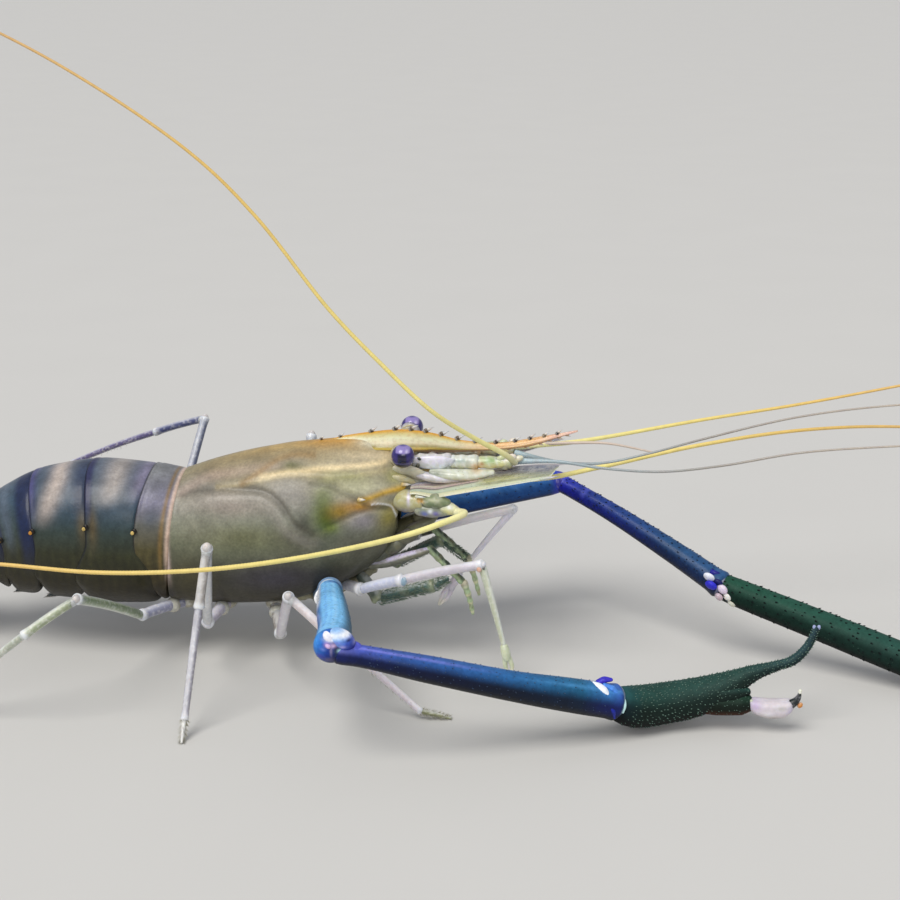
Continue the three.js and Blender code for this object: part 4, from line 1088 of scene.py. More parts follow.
def make_eye(name, side, material, stalk_material):
    form = Form()
    centre = np.array([0, side * EYE_OUT, EYE_HEIGHT])

    def tint(points):
        x, y, z = ((points - centre) / EYE_RADIUS).T
        wide = np.abs(x)
        cap = step(z, 0.42, 0.52) * step(np.abs(x - 0.04), 0.66, 0.5)
        return coats(rgb(46, 36, 108) + 0 * points,
                     (6, 4, 34, 0.92 * step(wide, 0.5, 0.24) * step(z, 0.5, 0.3)),
                     (14, 12, 32, 0.9 * step(z, -0.4, -0.8)),
                     (120, 112, 160, 0.6 * bell(z, -0.4, 0.045) * step(wide, 0.9, 0.7)),
                     # The lilac cap is partly the eye's own colour and partly a painted reflection; the
                     # small white spot is a painted highlight.
                     (176, 160, 226, 0.6 * cap * step(z, 1.0, 0.88)),
                     (226, 220, 246, 0.6 * bell(x, 0.36, 0.12) * bell(z, 0.6, 0.12)))

    form.ball(centre, (EYE_RADIUS * 0.97,) * 3, tint, 96, axis=[0.1, side, 0.1])
    form.piece(f"eyeball_{name}", material, "eye", f"eye_{name}")
    form = Form()
    path = Route([[-1.5, side * 3, 64.6], [-1, side * 9, 67.2], [-0.2, side * 13.4, 68.8]])
    share = np.linspace(0, 1, 24)
    radii = mix(2, 2.9, share) + 0.3 * bell(share, 0.93, 0.06)
    form.tube(Tube(path.at(share), radii),
              lambda s, a: ramp(s, (0, 206, 200, 170), (0.7, 180, 172, 136), (0.86, 196, 192, 196),
                                (1, 70, 60, 100)), 24)
    form.piece(f"eyestalk_{name}", stalk_material, "head", f"eye_stalk_{name}")


FIRST_BASE_MARKS_AND_SHADOW = (
    (22, 64.4, 1.6, 1.1, (232, 180, 112), 0.9), (23.6, 65.4, 0.7, 0.5, (170, 110, 56), 0.9),
    (26, 66.4, 2, 0.7, (140, 176, 120), 0.9), (27.4, 64.4, 1.6, 0.8, (236, 226, 160), 0.9),
    (30.4, 64.8, 1.4, 1, (240, 228, 150), 0.9), (17, 66, 2.4, 0.5, (150, 168, 160), 0.9),
    # The dark green stripe low under the first joint is a painted shadow.
    (10, 62.8, 3, 0.5, (90, 104, 88), 0.9), (31, 67, 1.4, 0.7, (236, 220, 214), 0.9),
)


def make_first_base(name, side, material):
    """The jointed foot of the upper feelers, with the rounded leaf beside its first joint."""
    form = Form()
    flip = np.array([1, side, 1])

    def add(tube, tone, low, count=28, dome=0.4):
        order = np.argsort(tube.centres[:, 0])
        middle_x, middle_z = tube.centres[order, 0], tube.centres[order, 2]

        def tint(points):
            x, y, z = points.T
            lower = step(z - np.interp(x, middle_x, middle_z), 0.3, -1.2)
            body = coats(rgb(*tone) + 0 * points, (*low, lower),
                         (240, 242, 246, 0.4 * bell(np.sin(x * 2.4 + z * 1.1), 1, 0.4)))
            return patches(body, x, z, FIRST_BASE_MARKS_AND_SHADOW)
        form.skin(tube.ends(dome).rings(count), tint)

    # Joints as [x, y, z, radius], with the tints of the upper and the lower side of each length.
    joints = np.array([(3, 5.6, 64.6, 2.9), (13.6, 6.6, 65, 2.6), (22, 7.2, 65.2, 2.4),
                       (32.4, 7.6, 65.4, 2)])
    tones = ((206, 204, 208), (214, 218, 206), (200, 206, 160))
    # The first length's darker green underside is painted shade.
    under = ((160, 170, 150), (200, 200, 172), (222, 212, 164))
    t = np.linspace(0, 1, 30)
    for k in range(3):
        a, b = joints[k:k + 2, :3] * flip
        radii = mix(joints[k, 3] * 0.92, joints[k + 1, 3], t)
        radii *= 1 + 0.12 * step(t, 0.8, 0.95) - 0.2 * step(t, 0.12, 0) + 0.05 * np.sin(t * 16 + k)
        add(Tube(mix(a, b, t[:, None] * 0.97 + 0.015), radii, flat=0.9), tones[k], under[k])
    # The rounded leaf stands outside the first joint and ends in a blunt spine.
    leaf = Route(np.array([[2.6, 8.3, 65.2], [7, 9.2, 65.4], [12, 9, 65.5], [16, 8.4, 65.6]]) * flip)
    broad = 2.15 * np.sin(np.pi * mix(0.22, 0.985, t ** 1.3)) ** 0.7
    add(Tube(leaf.at(t), broad, lean=[0, 1, 0], flat=0.4), (226, 222, 238), (232, 236, 244), 24)
    # Clear lobes hang between the joints and the scale below them.
    for points, radius, flat, tone, low in (
            (((8, 9.4, 62.4), (15, 10, 62), (21, 9.8, 62), (27, 9.2, 62.6)), 2.8, 0.6,
             (216, 220, 202), (232, 226, 196)),
            (((3, 9.4, 62), (7, 10.2, 61.2), (12, 10.2, 60.8), (18, 9.8, 60.8)), 1.9, 0.8,
             (224, 218, 226), (216, 208, 206))):
        lobe = Route(np.array(points) * flip)
        radii = radius * np.sin(np.pi * mix(0.14, 0.88, t)) ** 0.6
        add(Tube(lobe.at(t), radii, flat=flat), tone, low, 26)
    # Dark beads on the first joint and beside it are painted shade for its pits and the gap under the
    # rostrum; clear lobes stand round the root of the feeler.
    form.beads(side, [((4.4, 9.4, 66.6), (0.7, 0.4, 0.45), (38, 40, 46))], 16, [0.7, 0, 1])
    form.beads(side, [((3.9, 9.6, 64.4), (0.6, 0.4, 0.9), (38, 40, 46))], 16, [0.5, 0, 1])
    form.beads(side, [((8.2, 4.4, 66.8), (0.6, 0.6, 1.8), (70, 40, 56))], 16, [1, 0, 0])
    form.beads(side, [((31, 8.4, 64.6), (1.3, 1.1, 1.8), (236, 226, 176)),
                      ((32.6, 8, 67), (1.5, 1.2, 1.6), (232, 222, 208)),
                      ((34.6, 7.4, 66.6), (1.1, 1, 1.7), (226, 220, 196)),
                      ((29.4, 8, 66.6), (1.3, 1.1, 1.6), (214, 222, 176))], 20, [1, 0, 0.4])
    form.piece(f"first_feeler_base_{name}", material, "head", f"antennule_base_{name}")


SECOND_BASE_MARKS = (
    (1.6, 55.6, 0.5, 2, (226, 218, 246), 0.95), (0.2, 51.6, 1.2, 0.8, (120, 100, 124), 0.7),
    (2.6, 51.2, 0.9, 0.7, (222, 200, 170), 0.8), (4.6, 56.4, 0.9, 0.6, (232, 206, 112), 0.9),
    (5.4, 55.6, 1, 0.7, (238, 180, 92), 0.95), (5.9, 54.4, 0.35, 0.35, (70, 54, 20), 0.9),
    (6.6, 51.6, 1.1, 0.8, (104, 118, 206), 0.95), (8.4, 52.6, 0.7, 0.6, (236, 238, 250), 1),
    (10.2, 52, 1.1, 0.8, (120, 110, 196), 0.85), (9.4, 56.4, 2.4, 0.5, (206, 208, 176), 0.8),
    (13.4, 52.8, 1.2, 0.9, (232, 226, 150), 0.8), (14.4, 54.2, 0.8, 0.6, PALE, 0.9),
)
# Its parts: points on the left side, radii, and the tints of the upper and the lower side.
SECOND_BASE_PARTS = (
    (((-3, 9, 53.4), (1.4, 12.6, 54), (5.4, 14.4, 54.4)), (3.2, 3.7, 2.7),
     (186, 180, 130), (150, 140, 120)),
    (((6.8, 15.6, 55), (10.2, 16.4, 55.4), (13.4, 16.6, 54.8)), (1.9, 2.5, 1.6),
     (120, 134, 98), (104, 116, 84)),
    (((4.8, 14.8, 52.2), (9, 15.8, 52.2), (13, 16.4, 52.8)), (2, 2.2, 1.9),
     (140, 148, 124), (150, 146, 140)),
    (((12.4, 16.4, 53.4), (14.4, 16.7, 53.2), (16.4, 17, 52.6)), (2, 2, 1.4),
     (232, 230, 190), (226, 218, 150)),
)


def make_second_base(name, side, material):
    """The foot of the long feeler: a clear yellow joint, a round green one and a pale ring."""
    form = Form()
    flip = np.array([1, side, 1])
    for line, radii, tone, low in SECOND_BASE_PARTS:
        t = np.linspace(0, 1, 44)
        tube = Tube(Route(np.array(line) * flip).at(t), np.interp(t, [0, 0.5, 1], radii))

        def tint(points, tone=tone, low=low):
            x, y, z = points.T
            root = points[2, 2]    # the height of the part's root end
            body = coats(rgb(*tone) + 0 * points, (*low, step(z, root + 0.6, root - 2)),
                         (222, 220, 196, 0.15 * bell(np.sin(x * 1.3 + z * 0.9), 1, 0.5)))
            return patches(body, x, z, SECOND_BASE_MARKS)

        form.skin(tube.ends(0.8).rings(40), tint)
    form.spikes(np.array([4, 17, 57]) * flip, [1, side * 0.3, 0.05], 3.4, 0.55,
                (rgb(200, 204, 180), WHITE), sides=8)
    form.piece(f"second_feeler_base_{name}", material, "head", f"antenna_base_{name}")


def make_scale(name, side, material, fringe_material):
    """A thin blade with a stiff straight outer edge that ends in a spine."""
    length, width, slope = 45, 12, 0.235
    t = np.linspace(0, 1, 110)
    inner = width * np.clip(np.sin(np.pi * mix(0.1, 0.93, t ** 0.85)), 0, 1) ** 0.55 * 1.02
    outer = -1.5 - 0.5 * t
    outer = np.where(t > 0.93, mix(outer, inner * 0.9, step(t, 0.93, 1.02)), outer)
    u, v = circle(96)
    share = (1 - v) / 2
    across = mix(outer[:, None], inner[:, None], share)
    ribs = 0.09 * np.cos(share * 2 * np.pi * 7) + 0.16 * bell(share, 0.08, 0.05)
    thick = 0.2 + 0.3 * step(share, 0.22, 0.04) + 0.1 * bell(share, 0.36, 0.05) + ribs
    rise = u * thick * np.minimum(1, 6 * (1 - t) + 0.25)[:, None]
    along = (t * length)[:, None] + 0 * share

    def place(along, across, rise):
        arch = 0.9 * np.sin(np.pi * np.clip((across + 2) / 14, 0, 1))
        root = 2.4 * step(along, 9, 0)
        return np.stack([2 + along, side * (15.4 + along * 0.07 - across * (1 - root * 0.12)),
                         55.2 + along * slope + root + across * 0.1 + rise + arch * 0.5], -1)

    rings = place(along, across, rise)
    form = Form()
    s, t2 = share[None] + 0 * along, t[:, None] + 0 * along
    near = ramp(s, (0, 236, 232, 200), (0.1, 222, 220, 180), (0.2, 188, 204, 178),
                (0.32, 200, 208, 186), (0.37, 104, 104, 100), (0.42, 222, 196, 196),
                (0.55, 242, 232, 210), (0.7, 214, 190, 200), (0.78, 250, 246, 252),
                (0.88, 236, 232, 248), (0.94, 170, 168, 190), (1, 190, 186, 214))
    far = ramp(s, (0, 226, 234, 206), (0.1, 206, 214, 180), (0.18, 150, 156, 112),
               (0.3, 190, 190, 128), (0.42, 150, 150, 104), (0.55, 120, 116, 104),
               (0.75, 92, 90, 108), (1, 112, 104, 116))
    tint = blend(near, far, step(t2 + 0.1 * (s - 0.5), 0.4, 0.5))
    form.skin(rings, coats(
        tint, (124, 134, 150, 0.6 * step(t2, 0.6, 0.95) * step(s, 0.16, 0.3)),
        (140, 146, 160, 0.4 * bell(np.sin(s * 60), 1, 0.5) * step(t2, 0.4, 0.55))))
    spine = place(np.array([40.0]), np.array([-1.6]), np.array([0.0]))
    form.spikes(spine, [1, side * 0.08, slope], 6, 0.6, (rgb(206, 214, 192), LILAC), sides=8)
    form.piece(f"scale_blade_{name}", material, "scale", f"antennal_scale_{name}")
    fringe = Form()
    spots = np.linspace(0.3, 0.99, 130)
    roots = place(spots * length, np.interp(spots, t, inner) - 0.2, 0 * spots)
    out = np.stack([0.8 + spots, -side * (1.2 - 0.9 * spots), 0.2 + 0 * spots], -1)
    fringe.spikes(roots, out, 2.4, 0.07, (rgb(150, 146, 160), rgb(206, 196, 204)), sides=3,
                  bend=[0.1, 0, 0.04], patch=np.stack([0.1 + 0.8 * spots, 0.5 + 0 * spots], -1))
    fringe.piece(f"scale_fringe_{name}", fringe_material, "scale")


def make_feeler(name, path, radius, pieces, slot, tint, material, branch=None):
    """A long whip of many small rings, in as many lengths as its solids have."""
    route = Route(path)
    spacing = 0.9
    swell = 1.6 if pieces == 1 else 0.3
    for part in range(pieces):
        low, high = part / pieces, (part + 1) / pieces
        count = max(8, int(route.length / pieces / spacing * 3))
        share = np.linspace(low, high, count)
        run = share * route.length
        radii = mix(radius, 0.3, share ** 0.8) * (0.98 + 0.05 * np.cos(2 * np.pi * run / spacing))
        radii = radii * (1 + swell * np.exp(-run / 9))
        form = Form()
        form.tube(Tube(route.at(share), radii),
                  lambda s, a, low=low, high=high: tint(mix(low, high, s)), 10, 0.6)
        if branch is not None and part == 0:
            spots = np.linspace(0, 1, 120)
            form.tube(Tube(Route(branch).at(spots), mix(0.6, 0.3, spots)),
                      rgb(206, 190, 176), 8)
        node = f"{name}_{part + 1}" if pieces > 1 else name
        form.piece(f"whip_{node}", material, slot, node)


def scatter(form, rng, tube, count, part, lean, jitter, lengths, radius, tints, crowd=False):
    """Bristles at random places on a tube. They lean out and ahead by the two shares of lean; part
    is the strip of the colour map that they use, and crowd draws them to the tube's far end."""
    place, turn = rng.random(count), rng.uniform(0, 2 * np.pi, count)
    if crowd:
        place = 1 - 0.7 * place**2
    point, out, head = tube.skin_at(place, turn)
    headings = out * lean[0] + head * lean[1] + rng.normal(0, jitter, (count, 3))
    patch = loft(0.1 + 0.2 * part + 0.18 * place, 0.1 + 0.8 * turn / (2 * np.pi), 0)[:, :2]
    form.spikes(point, headings, rng.uniform(*lengths, count), radius, tints, sides=3, patch=patch)


def make_mouthparts(material, brush_material):
    form = Form()
    t = np.linspace(0, 1, 40)[:, None]
    u, v = circle(36)
    bulge = np.sin(np.pi * mix(0.22, 0.9, t))
    form.skin(loft(mix(-16, 8, t), u * (6 * bulge + 1), mix(29, 45.6, t) + v * (4.2 * bulge + 0.8)),
              lambda p: ramp(p[:, 2], (28, 70, 72, 62), (38, 96, 98, 78), (48, 128, 122, 96)))
    # Overlapping leaves on both sides; the lowest is long, with a lilac upper edge.
    for side in SIDES.values():
        for k in range(4):
            x, z = -9 + 4.4 * k, 33 + 3.6 * k
            path = Route([[x - 4, side * 5.4, z - 1.6], [x, side * (7.2 + 0.2 * k), z],
                          [x + 5.4, side * 6.4, z + 3.4]])
            s = np.linspace(0, 1, 26)
            broad = (3.1 - 0.3 * k) * np.sin(np.pi * mix(0.12, 0.93, s)) ** 0.7
            tone = mix(rgb(84, 88, 74), rgb(116, 116, 92), k / 3)
            form.tube(Tube(path.at(s), broad, flat=0.9),
                      lambda a, q, tone=tone: coats(tone + 0 * a[..., None],
                                                    (160, 150, 160, 0.6 * step(np.cos(q), 0.5, 0.95))),
                      18)
        path = Route([[-14, side * 8, 30.6], [-6.6, side * 9.4, 32], [1, side * 9.6, 34.6],
                      [8, side * 8.6, 36.8]])
        s = np.linspace(0, 1, 30)
        form.tube(Tube(path.at(s), 1.9 * np.sin(np.pi * mix(0.14, 0.9, s)) ** 0.5, flat=0.8),
                  lambda a, q: coats(rgb(110, 112, 100) + 0 * a[..., None],
                                     (212, 204, 232, step(np.cos(q), 0.2, 0.8))), 18)
        form.beads(side, [((4.6, 5.2, 46), (2.2, 2.2, 2.8), (122, 118, 98))], 20, [1, 0, 0.4])
    form.piece("mouth_leaves", material, "mouthparts", "mouthparts")
    pale = rgb(176, 198, 156)
    for name, joints in MAXILLIPEDS.items():
        form, fur = Form(), Form()
        make_limb(form, joints[:4], (rgb(104, 116, 106), rgb(74, 104, 98), rgb(74, 104, 98)), knob=0.0,
                  knob_tone=rgb(150, 160, 132))
        tip = np.array(joints[4][:3])
        # A second, slender branch runs from the mouth to the same tip.
        elbow, *before = MOUTH_BRANCHES[name]
        s = np.linspace(0, 1, 40)
        form.tube(Tube(Route([*before, elbow]).at(s),
                       mix(1.25, 1.1, s) + 0.12 * np.sin(s * 30) * step(s, 0.1, 0.3)),
                  lambda a, q: coats(pale + 0 * a[..., None], (44, 58, 46, step(np.cos(q), 0.1, 0.7)),
                                     (120, 140, 112, 0.6 * bell(np.sin(a * 34 + 2 * np.cos(q)), 1, 0.5))),
                  16, 0.7)
        form.tube(Tube(Route([elbow, mix(elbow, tip, 0.5) + [0.3, 0, 0], tip]).at(s),
                       mix(1.15, 0.6, s) + 0.1 * np.sin(s * 24)),
                  lambda a, q: coats(pale + 0 * a[..., None],
                                     (224, 222, 186, 0.8 * bell(np.sin(a * 22), 1, 0.5))), 16, 0.9)
        form.ball(elbow, (1.25, 1.25, 1.4), rgb(214, 204, 176), 16)
        form.piece(f"{name}_arm", material, "mouthparts", name)
        rng = np.random.default_rng(21)
        for k in (1, 2):
            a, b = np.array(joints[k]), np.array(joints[k + 1])
            even = np.linspace(0, 1, 6)
            tube = Tube(mix(a[:3], b[:3], even[:, None]), mix(a[3], b[3], even) * 0.95)
            scatter(fur, rng, tube, int(np.linalg.norm(b[:3] - a[:3]) * 34), k, (0.7, 1.1), 0.16,
                    (0.7, 1.4), 0.11, (rgb(64, 92, 84), rgb(150, 172, 142)))
        fur.piece(f"{name}_fur", brush_material, "mouthparts")


# ---------------------------------------------------------------- limbs

def make_limb(form, joints, tones, knob=1.0, knob_tone=WHITE, bow=0.015):
    """Tapered lengths that flare at their far ends, with a soft joint and knobs at each bend."""
    joints = np.asarray(joints, float)
    points, radii = joints[:, :3], joints[:, 3]
    for k in range(len(joints) - 1):
        a, b = points[k], points[k + 1]
        ahead, length = unit(b - a), np.linalg.norm(b - a)
        t = np.linspace(0, 1, 30)
        last = k == len(joints) - 2
        radius = mix(radii[k] * 0.86, radii[k + 1] * (0.6 if last else 0.98), t ** (1.3 if last else 1))
        radius = radius * (1 - 0.16 * step(t * length, 1.8, 0))
        if not last:
            radius = radius * (1 + 0.17 * step((1 - t) * length, 2.4, 0.4))
        centres = mix(a, b, t[:, None]) + UP * bow * length * np.sin(np.pi * t)[:, None]
        tone = np.asarray(tones[min(k, len(tones) - 1)])

        def tint(s, q, tone=tone, length=length, last=last):
            # Light rims run along both sides of a darker middle: painted highlights at the rims and painted
            # shade in the middle, as clear shell looks in light.
            under = blend(tone * np.ones((*s.shape, 3)), tone * 0.76, 0.7 * bell(np.cos(q), 0, 0.3))
            under = blend(under, mix(tone, WHITE, 0.65), 0.7 * step(np.abs(np.cos(q)), 0.6, 0.9))
            over = blend(under, knob_tone, 0.8 * step((1 - s) * length, 1.9, 0.4) * (not last))
            return blend(over, tone * 0.8, 0.3 * bell(s, 0.12, 0.1))

        form.tube(Tube(centres, radius), tint, 18, 0.45)
        if not last:
            turn = unit(unit(points[min(k + 2, len(points) - 1)] - b) + ahead)
            form.ball(b, (radii[k + 1] * 0.92,) * 3, mix(tone, WHITE, 0.5), 16, turn, mark=1.0)
            if knob and k >= 1:
                side = unit(np.cross(ahead, unit(points[k + 2] - b) + [0.01, 0.02, 0]))
                for way in (-1, 1):
                    form.ball(b + side * way * radii[k + 1] * 0.78 - ahead * 0.3,
                              (radii[k + 1] * 0.42,) * 3, mix(knob_tone, rgb(60, 56, 54), 0.12), 12)


# The tints of the five lengths of each walking leg, from the body outwards.
FAR_TONES = ((150, 148, 150), (160, 162, 172), (160, 162, 172), (166, 166, 172), (150, 150, 140))
LEG_TONES = {
    "leg_3_right": ((140, 134, 126), (210, 204, 216), (222, 212, 212), (224, 214, 222), (150, 154, 116)),
    "leg_4_right": ((206, 200, 218), (190, 192, 196), (172, 166, 160), (158, 156, 168), (190, 188, 180)),
    "leg_5_right": ((150, 152, 176), (140, 156, 126), (160, 170, 140), (176, 182, 166), (190, 176, 146)),
    "leg_3_left": FAR_TONES,
    "leg_4_left": FAR_TONES,
    "leg_5_left": ((150, 148, 150), (104, 112, 140), (84, 90, 132), (104, 96, 140), (110, 108, 140)),
}


def make_walking_leg(name, joints, material, fur_material):
    form, fur = Form(), Form()
    joints = np.asarray(joints, float)
    make_limb(form, joints, [rgb(*tone) for tone in LEG_TONES[name]])
    hip, before, knee, after = joints[:4, :3]
    form.ball(hip + [0, 0, 0.4], (3.1, 3.1, 2.8), rgb(168, 164, 146), 20)
    form.ball(mix(hip, before, 0.32), (2.5, 2.5, 2.2), rgb(186, 184, 172), 20, before - hip)
    # Soft swellings stand before and behind the knee.
    radius = joints[2, 3]
    swell = radius * (1.3 if name == "leg_4_right" else 1.2)
    form.ball(knee - unit(knee - before) * radius * 0.7, (swell * 0.86, swell * 0.86, swell * 1.6),
              rgb(214, 206, 202), 20, knee - before)
    form.ball(knee + unit(after - knee) * radius * 1.1, (radius * 0.9, radius * 0.9, radius * 1.3),
              rgb(206, 208, 206), 18, after - knee)
    form.piece(f"{name}_limb", material, "leg", name)
    rng = np.random.default_rng(int(name[4]) * 7 + 1)
    for k, density, long in ((4, 16, 1.5), (3, 3, 0.9)):
        a, b = joints[k], joints[k + 1]
        t = np.linspace(0, 1, 5)
        tube = Tube(mix(a[:3], b[:3], t[:, None]), mix(a[3] * 0.9, b[3] * 0.7, t))
        scatter(fur, rng, tube, int(np.linalg.norm(b[:3] - a[:3]) * density), k, (1, 0.9), 0.12,
                (0.6 * long, long), 0.075, (rgb(150, 146, 120), rgb(190, 188, 170)), crowd=k == 3)
    fur.piece(f"{name}_bristles", fur_material, "leg")


def make_slender_claw(name, joints, material):
    form = Form()
    joints = np.asarray(joints, float)
    near = name.endswith("right")
    tones = ((rgb(196, 196, 206), rgb(206, 212, 236), rgb(222, 216, 226), rgb(204, 210, 186)) if near else
             (rgb(216, 208, 214), rgb(250, 240, 242), rgb(250, 244, 250), rgb(238, 234, 248)))
    make_limb(form, joints[:5], tones, knob_tone=rgb(240, 240, 244))
    if near:
        form.ball([23.8, -26.4, 37.6], (0.8, 0.6, 0.9), rgb(226, 176, 152), 16)
        form.ball([25.2, -26.3, 38], (0.45, 0.4, 0.5), rgb(60, 60, 56), 12)
        form.ball([0.4, -19.6, 30.2], (1.0, 0.7, 1.5), rgb(150, 176, 196), 16, [0.3, 0, 1])
    palm_start, palm_end = joints[4][:3], joints[5][:3]
    ahead = unit(palm_end - palm_start)
    across = unit(np.cross(ahead, [0, 1, 0.3]))
    tone = rgb(204, 212, 182) if near else rgb(220, 212, 226)
    t = np.linspace(0, 1, 24)
    length = np.linalg.norm(palm_end - palm_start)
    hand = palm_start + ahead * (t * length * 0.45)[:, None]
    form.tube(Tube(hand, 1.2 + 0.25 * np.sin(np.pi * t)), tone, 18, 0.6)
    for way in (-1, 1):
        path = Route([palm_start + ahead * length * 0.4 + across * way * 0.6,
                      palm_start + ahead * length * 0.72 + across * way * 1.0,
                      palm_end + across * way * 0.15])
        form.tube(Tube(path.at(t), mix(0.85, 0.32, t ** 1.4)),
                  lambda s, a: blend(tone + 0 * s[..., None], rgb(226, 220, 200), step(s, 0.4, 1)), 12, 0.8)
    form.piece(f"{name}_limb", material, "leg", name)


def arm_tube(path, count, start=(0, 1), end=(0, 1)):
    """One length of an arm. start and end give how much it swells there and over what distance."""
    path = np.asarray(path, float)
    route = Route(path)
    share = np.linspace(0, 1, count)
    radii = route.radius(path[:, 3], share)
    run = share * route.length
    radii = radii * (1 + start[0] * np.exp(-((run / start[1]) ** 2))
                     + end[0] * np.exp(-(((route.length - run) / end[1]) ** 2)))
    return Tube(route.at(share), radii)


def rows_of_spines(form, tube, low, high, turns, gap, size, tones, lean=1.2, seed=3):
    """Short spines in rows along a tube, at the given angles round it."""
    rng = np.random.default_rng(seed)
    jitter = 0.3
    for turn in turns:
        count = max(2, int((high - low) * tube.length / gap))
        place = np.linspace(low, high, count) + rng.normal(0, jitter * gap / tube.length, count)
        place = np.clip(place, 0, 1)
        angle = turn + rng.normal(0, jitter * 0.22, count)
        point, out, head = tube.skin_at(place, angle)
        scale = rng.uniform(0.75, 1.2, count)
        form.spikes(point - out * size * 0.12, out + head * lean, scale * size, scale * size * 0.34,
                    tones)


def lit(q, top, side, under):
    """A tint that changes from the top of a tube to its underside; where the top is lighter and the
    underside darker, it is painted light and shade.
    """
    up = np.cos(q)[..., None]
    tone = side + (top - side) * step(up, 0.1, 0.95)
    return tone + (under - tone) * step(up, -0.1, -0.85)


def lit_by(top, side, under):
    return lambda s, q: lit(q, rgb(*top), rgb(*side), rgb(*under))


# Patches of the right elbow, from its centre in radii, of the knob on it and of the pale nail, as
# (x, z, half length, half height, colour, share).
ELBOW_PATCHES = (
    (0.14, 0.62, 0.36, 0.12, (236, 240, 252), 0.9), (-0.08, 0.34, 0.16, 0.14, (190, 150, 210), 0.8),
    (0.28, 0.3, 0.2, 0.12, (226, 196, 236), 0.8), (0.16, 0.04, 0.07, 0.34, (150, 140, 176), 0.8),
    # The pale cyan patches at x 0.62 and 0.66 are painted highlights.
    (-0.3, 0.06, 0.16, 0.1, (104, 126, 200), 0.7), (0.62, -0.02, 0.18, 0.12, (176, 222, 236), 0.85),
    (0.66, -0.34, 0.16, 0.1, (110, 180, 214), 0.8), (0.42, 0.02, 0.08, 0.2, (16, 14, 46), 0.8),
    (-0.5, -0.42, 0.2, 0.16, (70, 60, 170), 0.7), (0, -0.6, 0.3, 0.14, (110, 100, 130), 0.6),
)
KNOB_PATCHES = (
    (-13.2, 40, 2, 0.8, PALE, 0.95), (-9.2, 40.3, 2.6, 0.8, PALE, 0.95),
    (-6.6, 38.4, 0.6, 1, (190, 190, 240), 0.8), (-8.4, 38.9, 0.7, 0.4, (20, 18, 60), 0.9),
    (-11.4, 38.4, 1.3, 0.5, (110, 120, 206), 0.8), (-13.2, 37.8, 1, 0.8, (190, 150, 210), 0.8),
    (-10, 37.2, 0.9, 0.5, (186, 180, 236), 0.7),
)
NAIL_PATCHES = (
    (104.6, 9, 1.6, 1.6, (186, 164, 214), 0.6), (108, 6.4, 1.4, 0.8, (236, 236, 240), 0.7),
    (112, 8.4, 1.8, 0.7, (176, 178, 172), 0.6), (110, 5, 1.2, 0.5, (170, 160, 150), 0.6),
    (114.6, 7.4, 0.8, 1.2, (196, 186, 216), 0.7),
)
# Round the right wrist stand a spine, a white bar that is a painted highlight, clear windows of
# soft skin and the rim of the palm's socket, as points, radii, colour and flatness.
WRIST_BARS = (
    (((59.6, -58.6, 17.2), (61.2, -58.4, 18), (63, -58.2, 18)), (1.2, 1.2, 0.7), (62, 54, 190), 0.8),
    (((57.6, -60.2, 17.8), (59.6, -61.2, 17.4), (61.4, -61.8, 16.2), (62.6, -62, 14.8)),
     (0.8, 1.2, 1.3, 0.7), (240, 246, 255), 0.6),
    (((61.4, -60, 17.2), (63.6, -60.2, 16.2), (65.2, -60.4, 14.6)), (0.8, 1.2, 0.7), (80, 140, 226), 0.6),
    (((65.4, -58.2, 15), (66.6, -60.2, 13.4), (67, -61.4, 11.4), (66.6, -61.8, 9.6)),
     (0.3, 0.6, 0.6, 0.3), (190, 226, 226), 1),
    (((62.4, -62.6, 12.6), (63.8, -62.6, 10.6), (64.2, -62.2, 8.4)), (0.7, 1.3, 0.7), (30, 44, 150), 0.6),
    (((55, -63, 17), (57, -63.4, 16.4), (58.6, -63.8, 15.2)), (0.5, 0.8, 0.5), (70, 130, 200), 0.6),
)


def near_merus_tint(s, q):
    side = np.sin(q)
    # Painted light and shade: lighter on top, darker underneath and at both edges.
    tone = coats(lit(q, rgb(136, 204, 254), rgb(50, 122, 204), rgb(14, 34, 80)),
                 (20, 66, 140, 0.7 * step(np.abs(side), 0.6, 1)),
                 (28, 92, 104, 0.75 * step(side, 0.35, 0.95)))
    for middle, width, colour, share in (
            # The first and palest of these lines is a painted highlight.
            (0.12, 0.09, (150, 208, 250), 0.85), (0.34, 0.05, (90, 170, 220), 0.6),
            (-0.12, 0.05, (100, 170, 240), 0.5), (-0.45, 0.1, (92, 156, 230), 0.6)):
        line = bell(side + 0.2 * (s - 0.5), middle, width)
        line = line * (0.75 + 0.25 * np.sin(s * 40 + middle * 30)) * step(s, 1, 0.9)
        tone = coats(tone, (*colour, share * line))
    return coats(tone, (40, 48, 150, 0.7 * bell(s, 0.06, 0.03) * step(side, -0.5, 0.1)),
                 # The white along one edge near the body is a painted highlight.
                 (*PALE, 0.9 * step(side, -0.66, -0.9) * step(s, 0.5, 0.3)),
                 (30, 70, 150, 0.5 * step(s, 0.8, 1) * step(side, 0.2, 0.8)),
                 (*PALE, 0.95 * step(s, 0.03, 0.012) * step(side, 0.4, 0)))


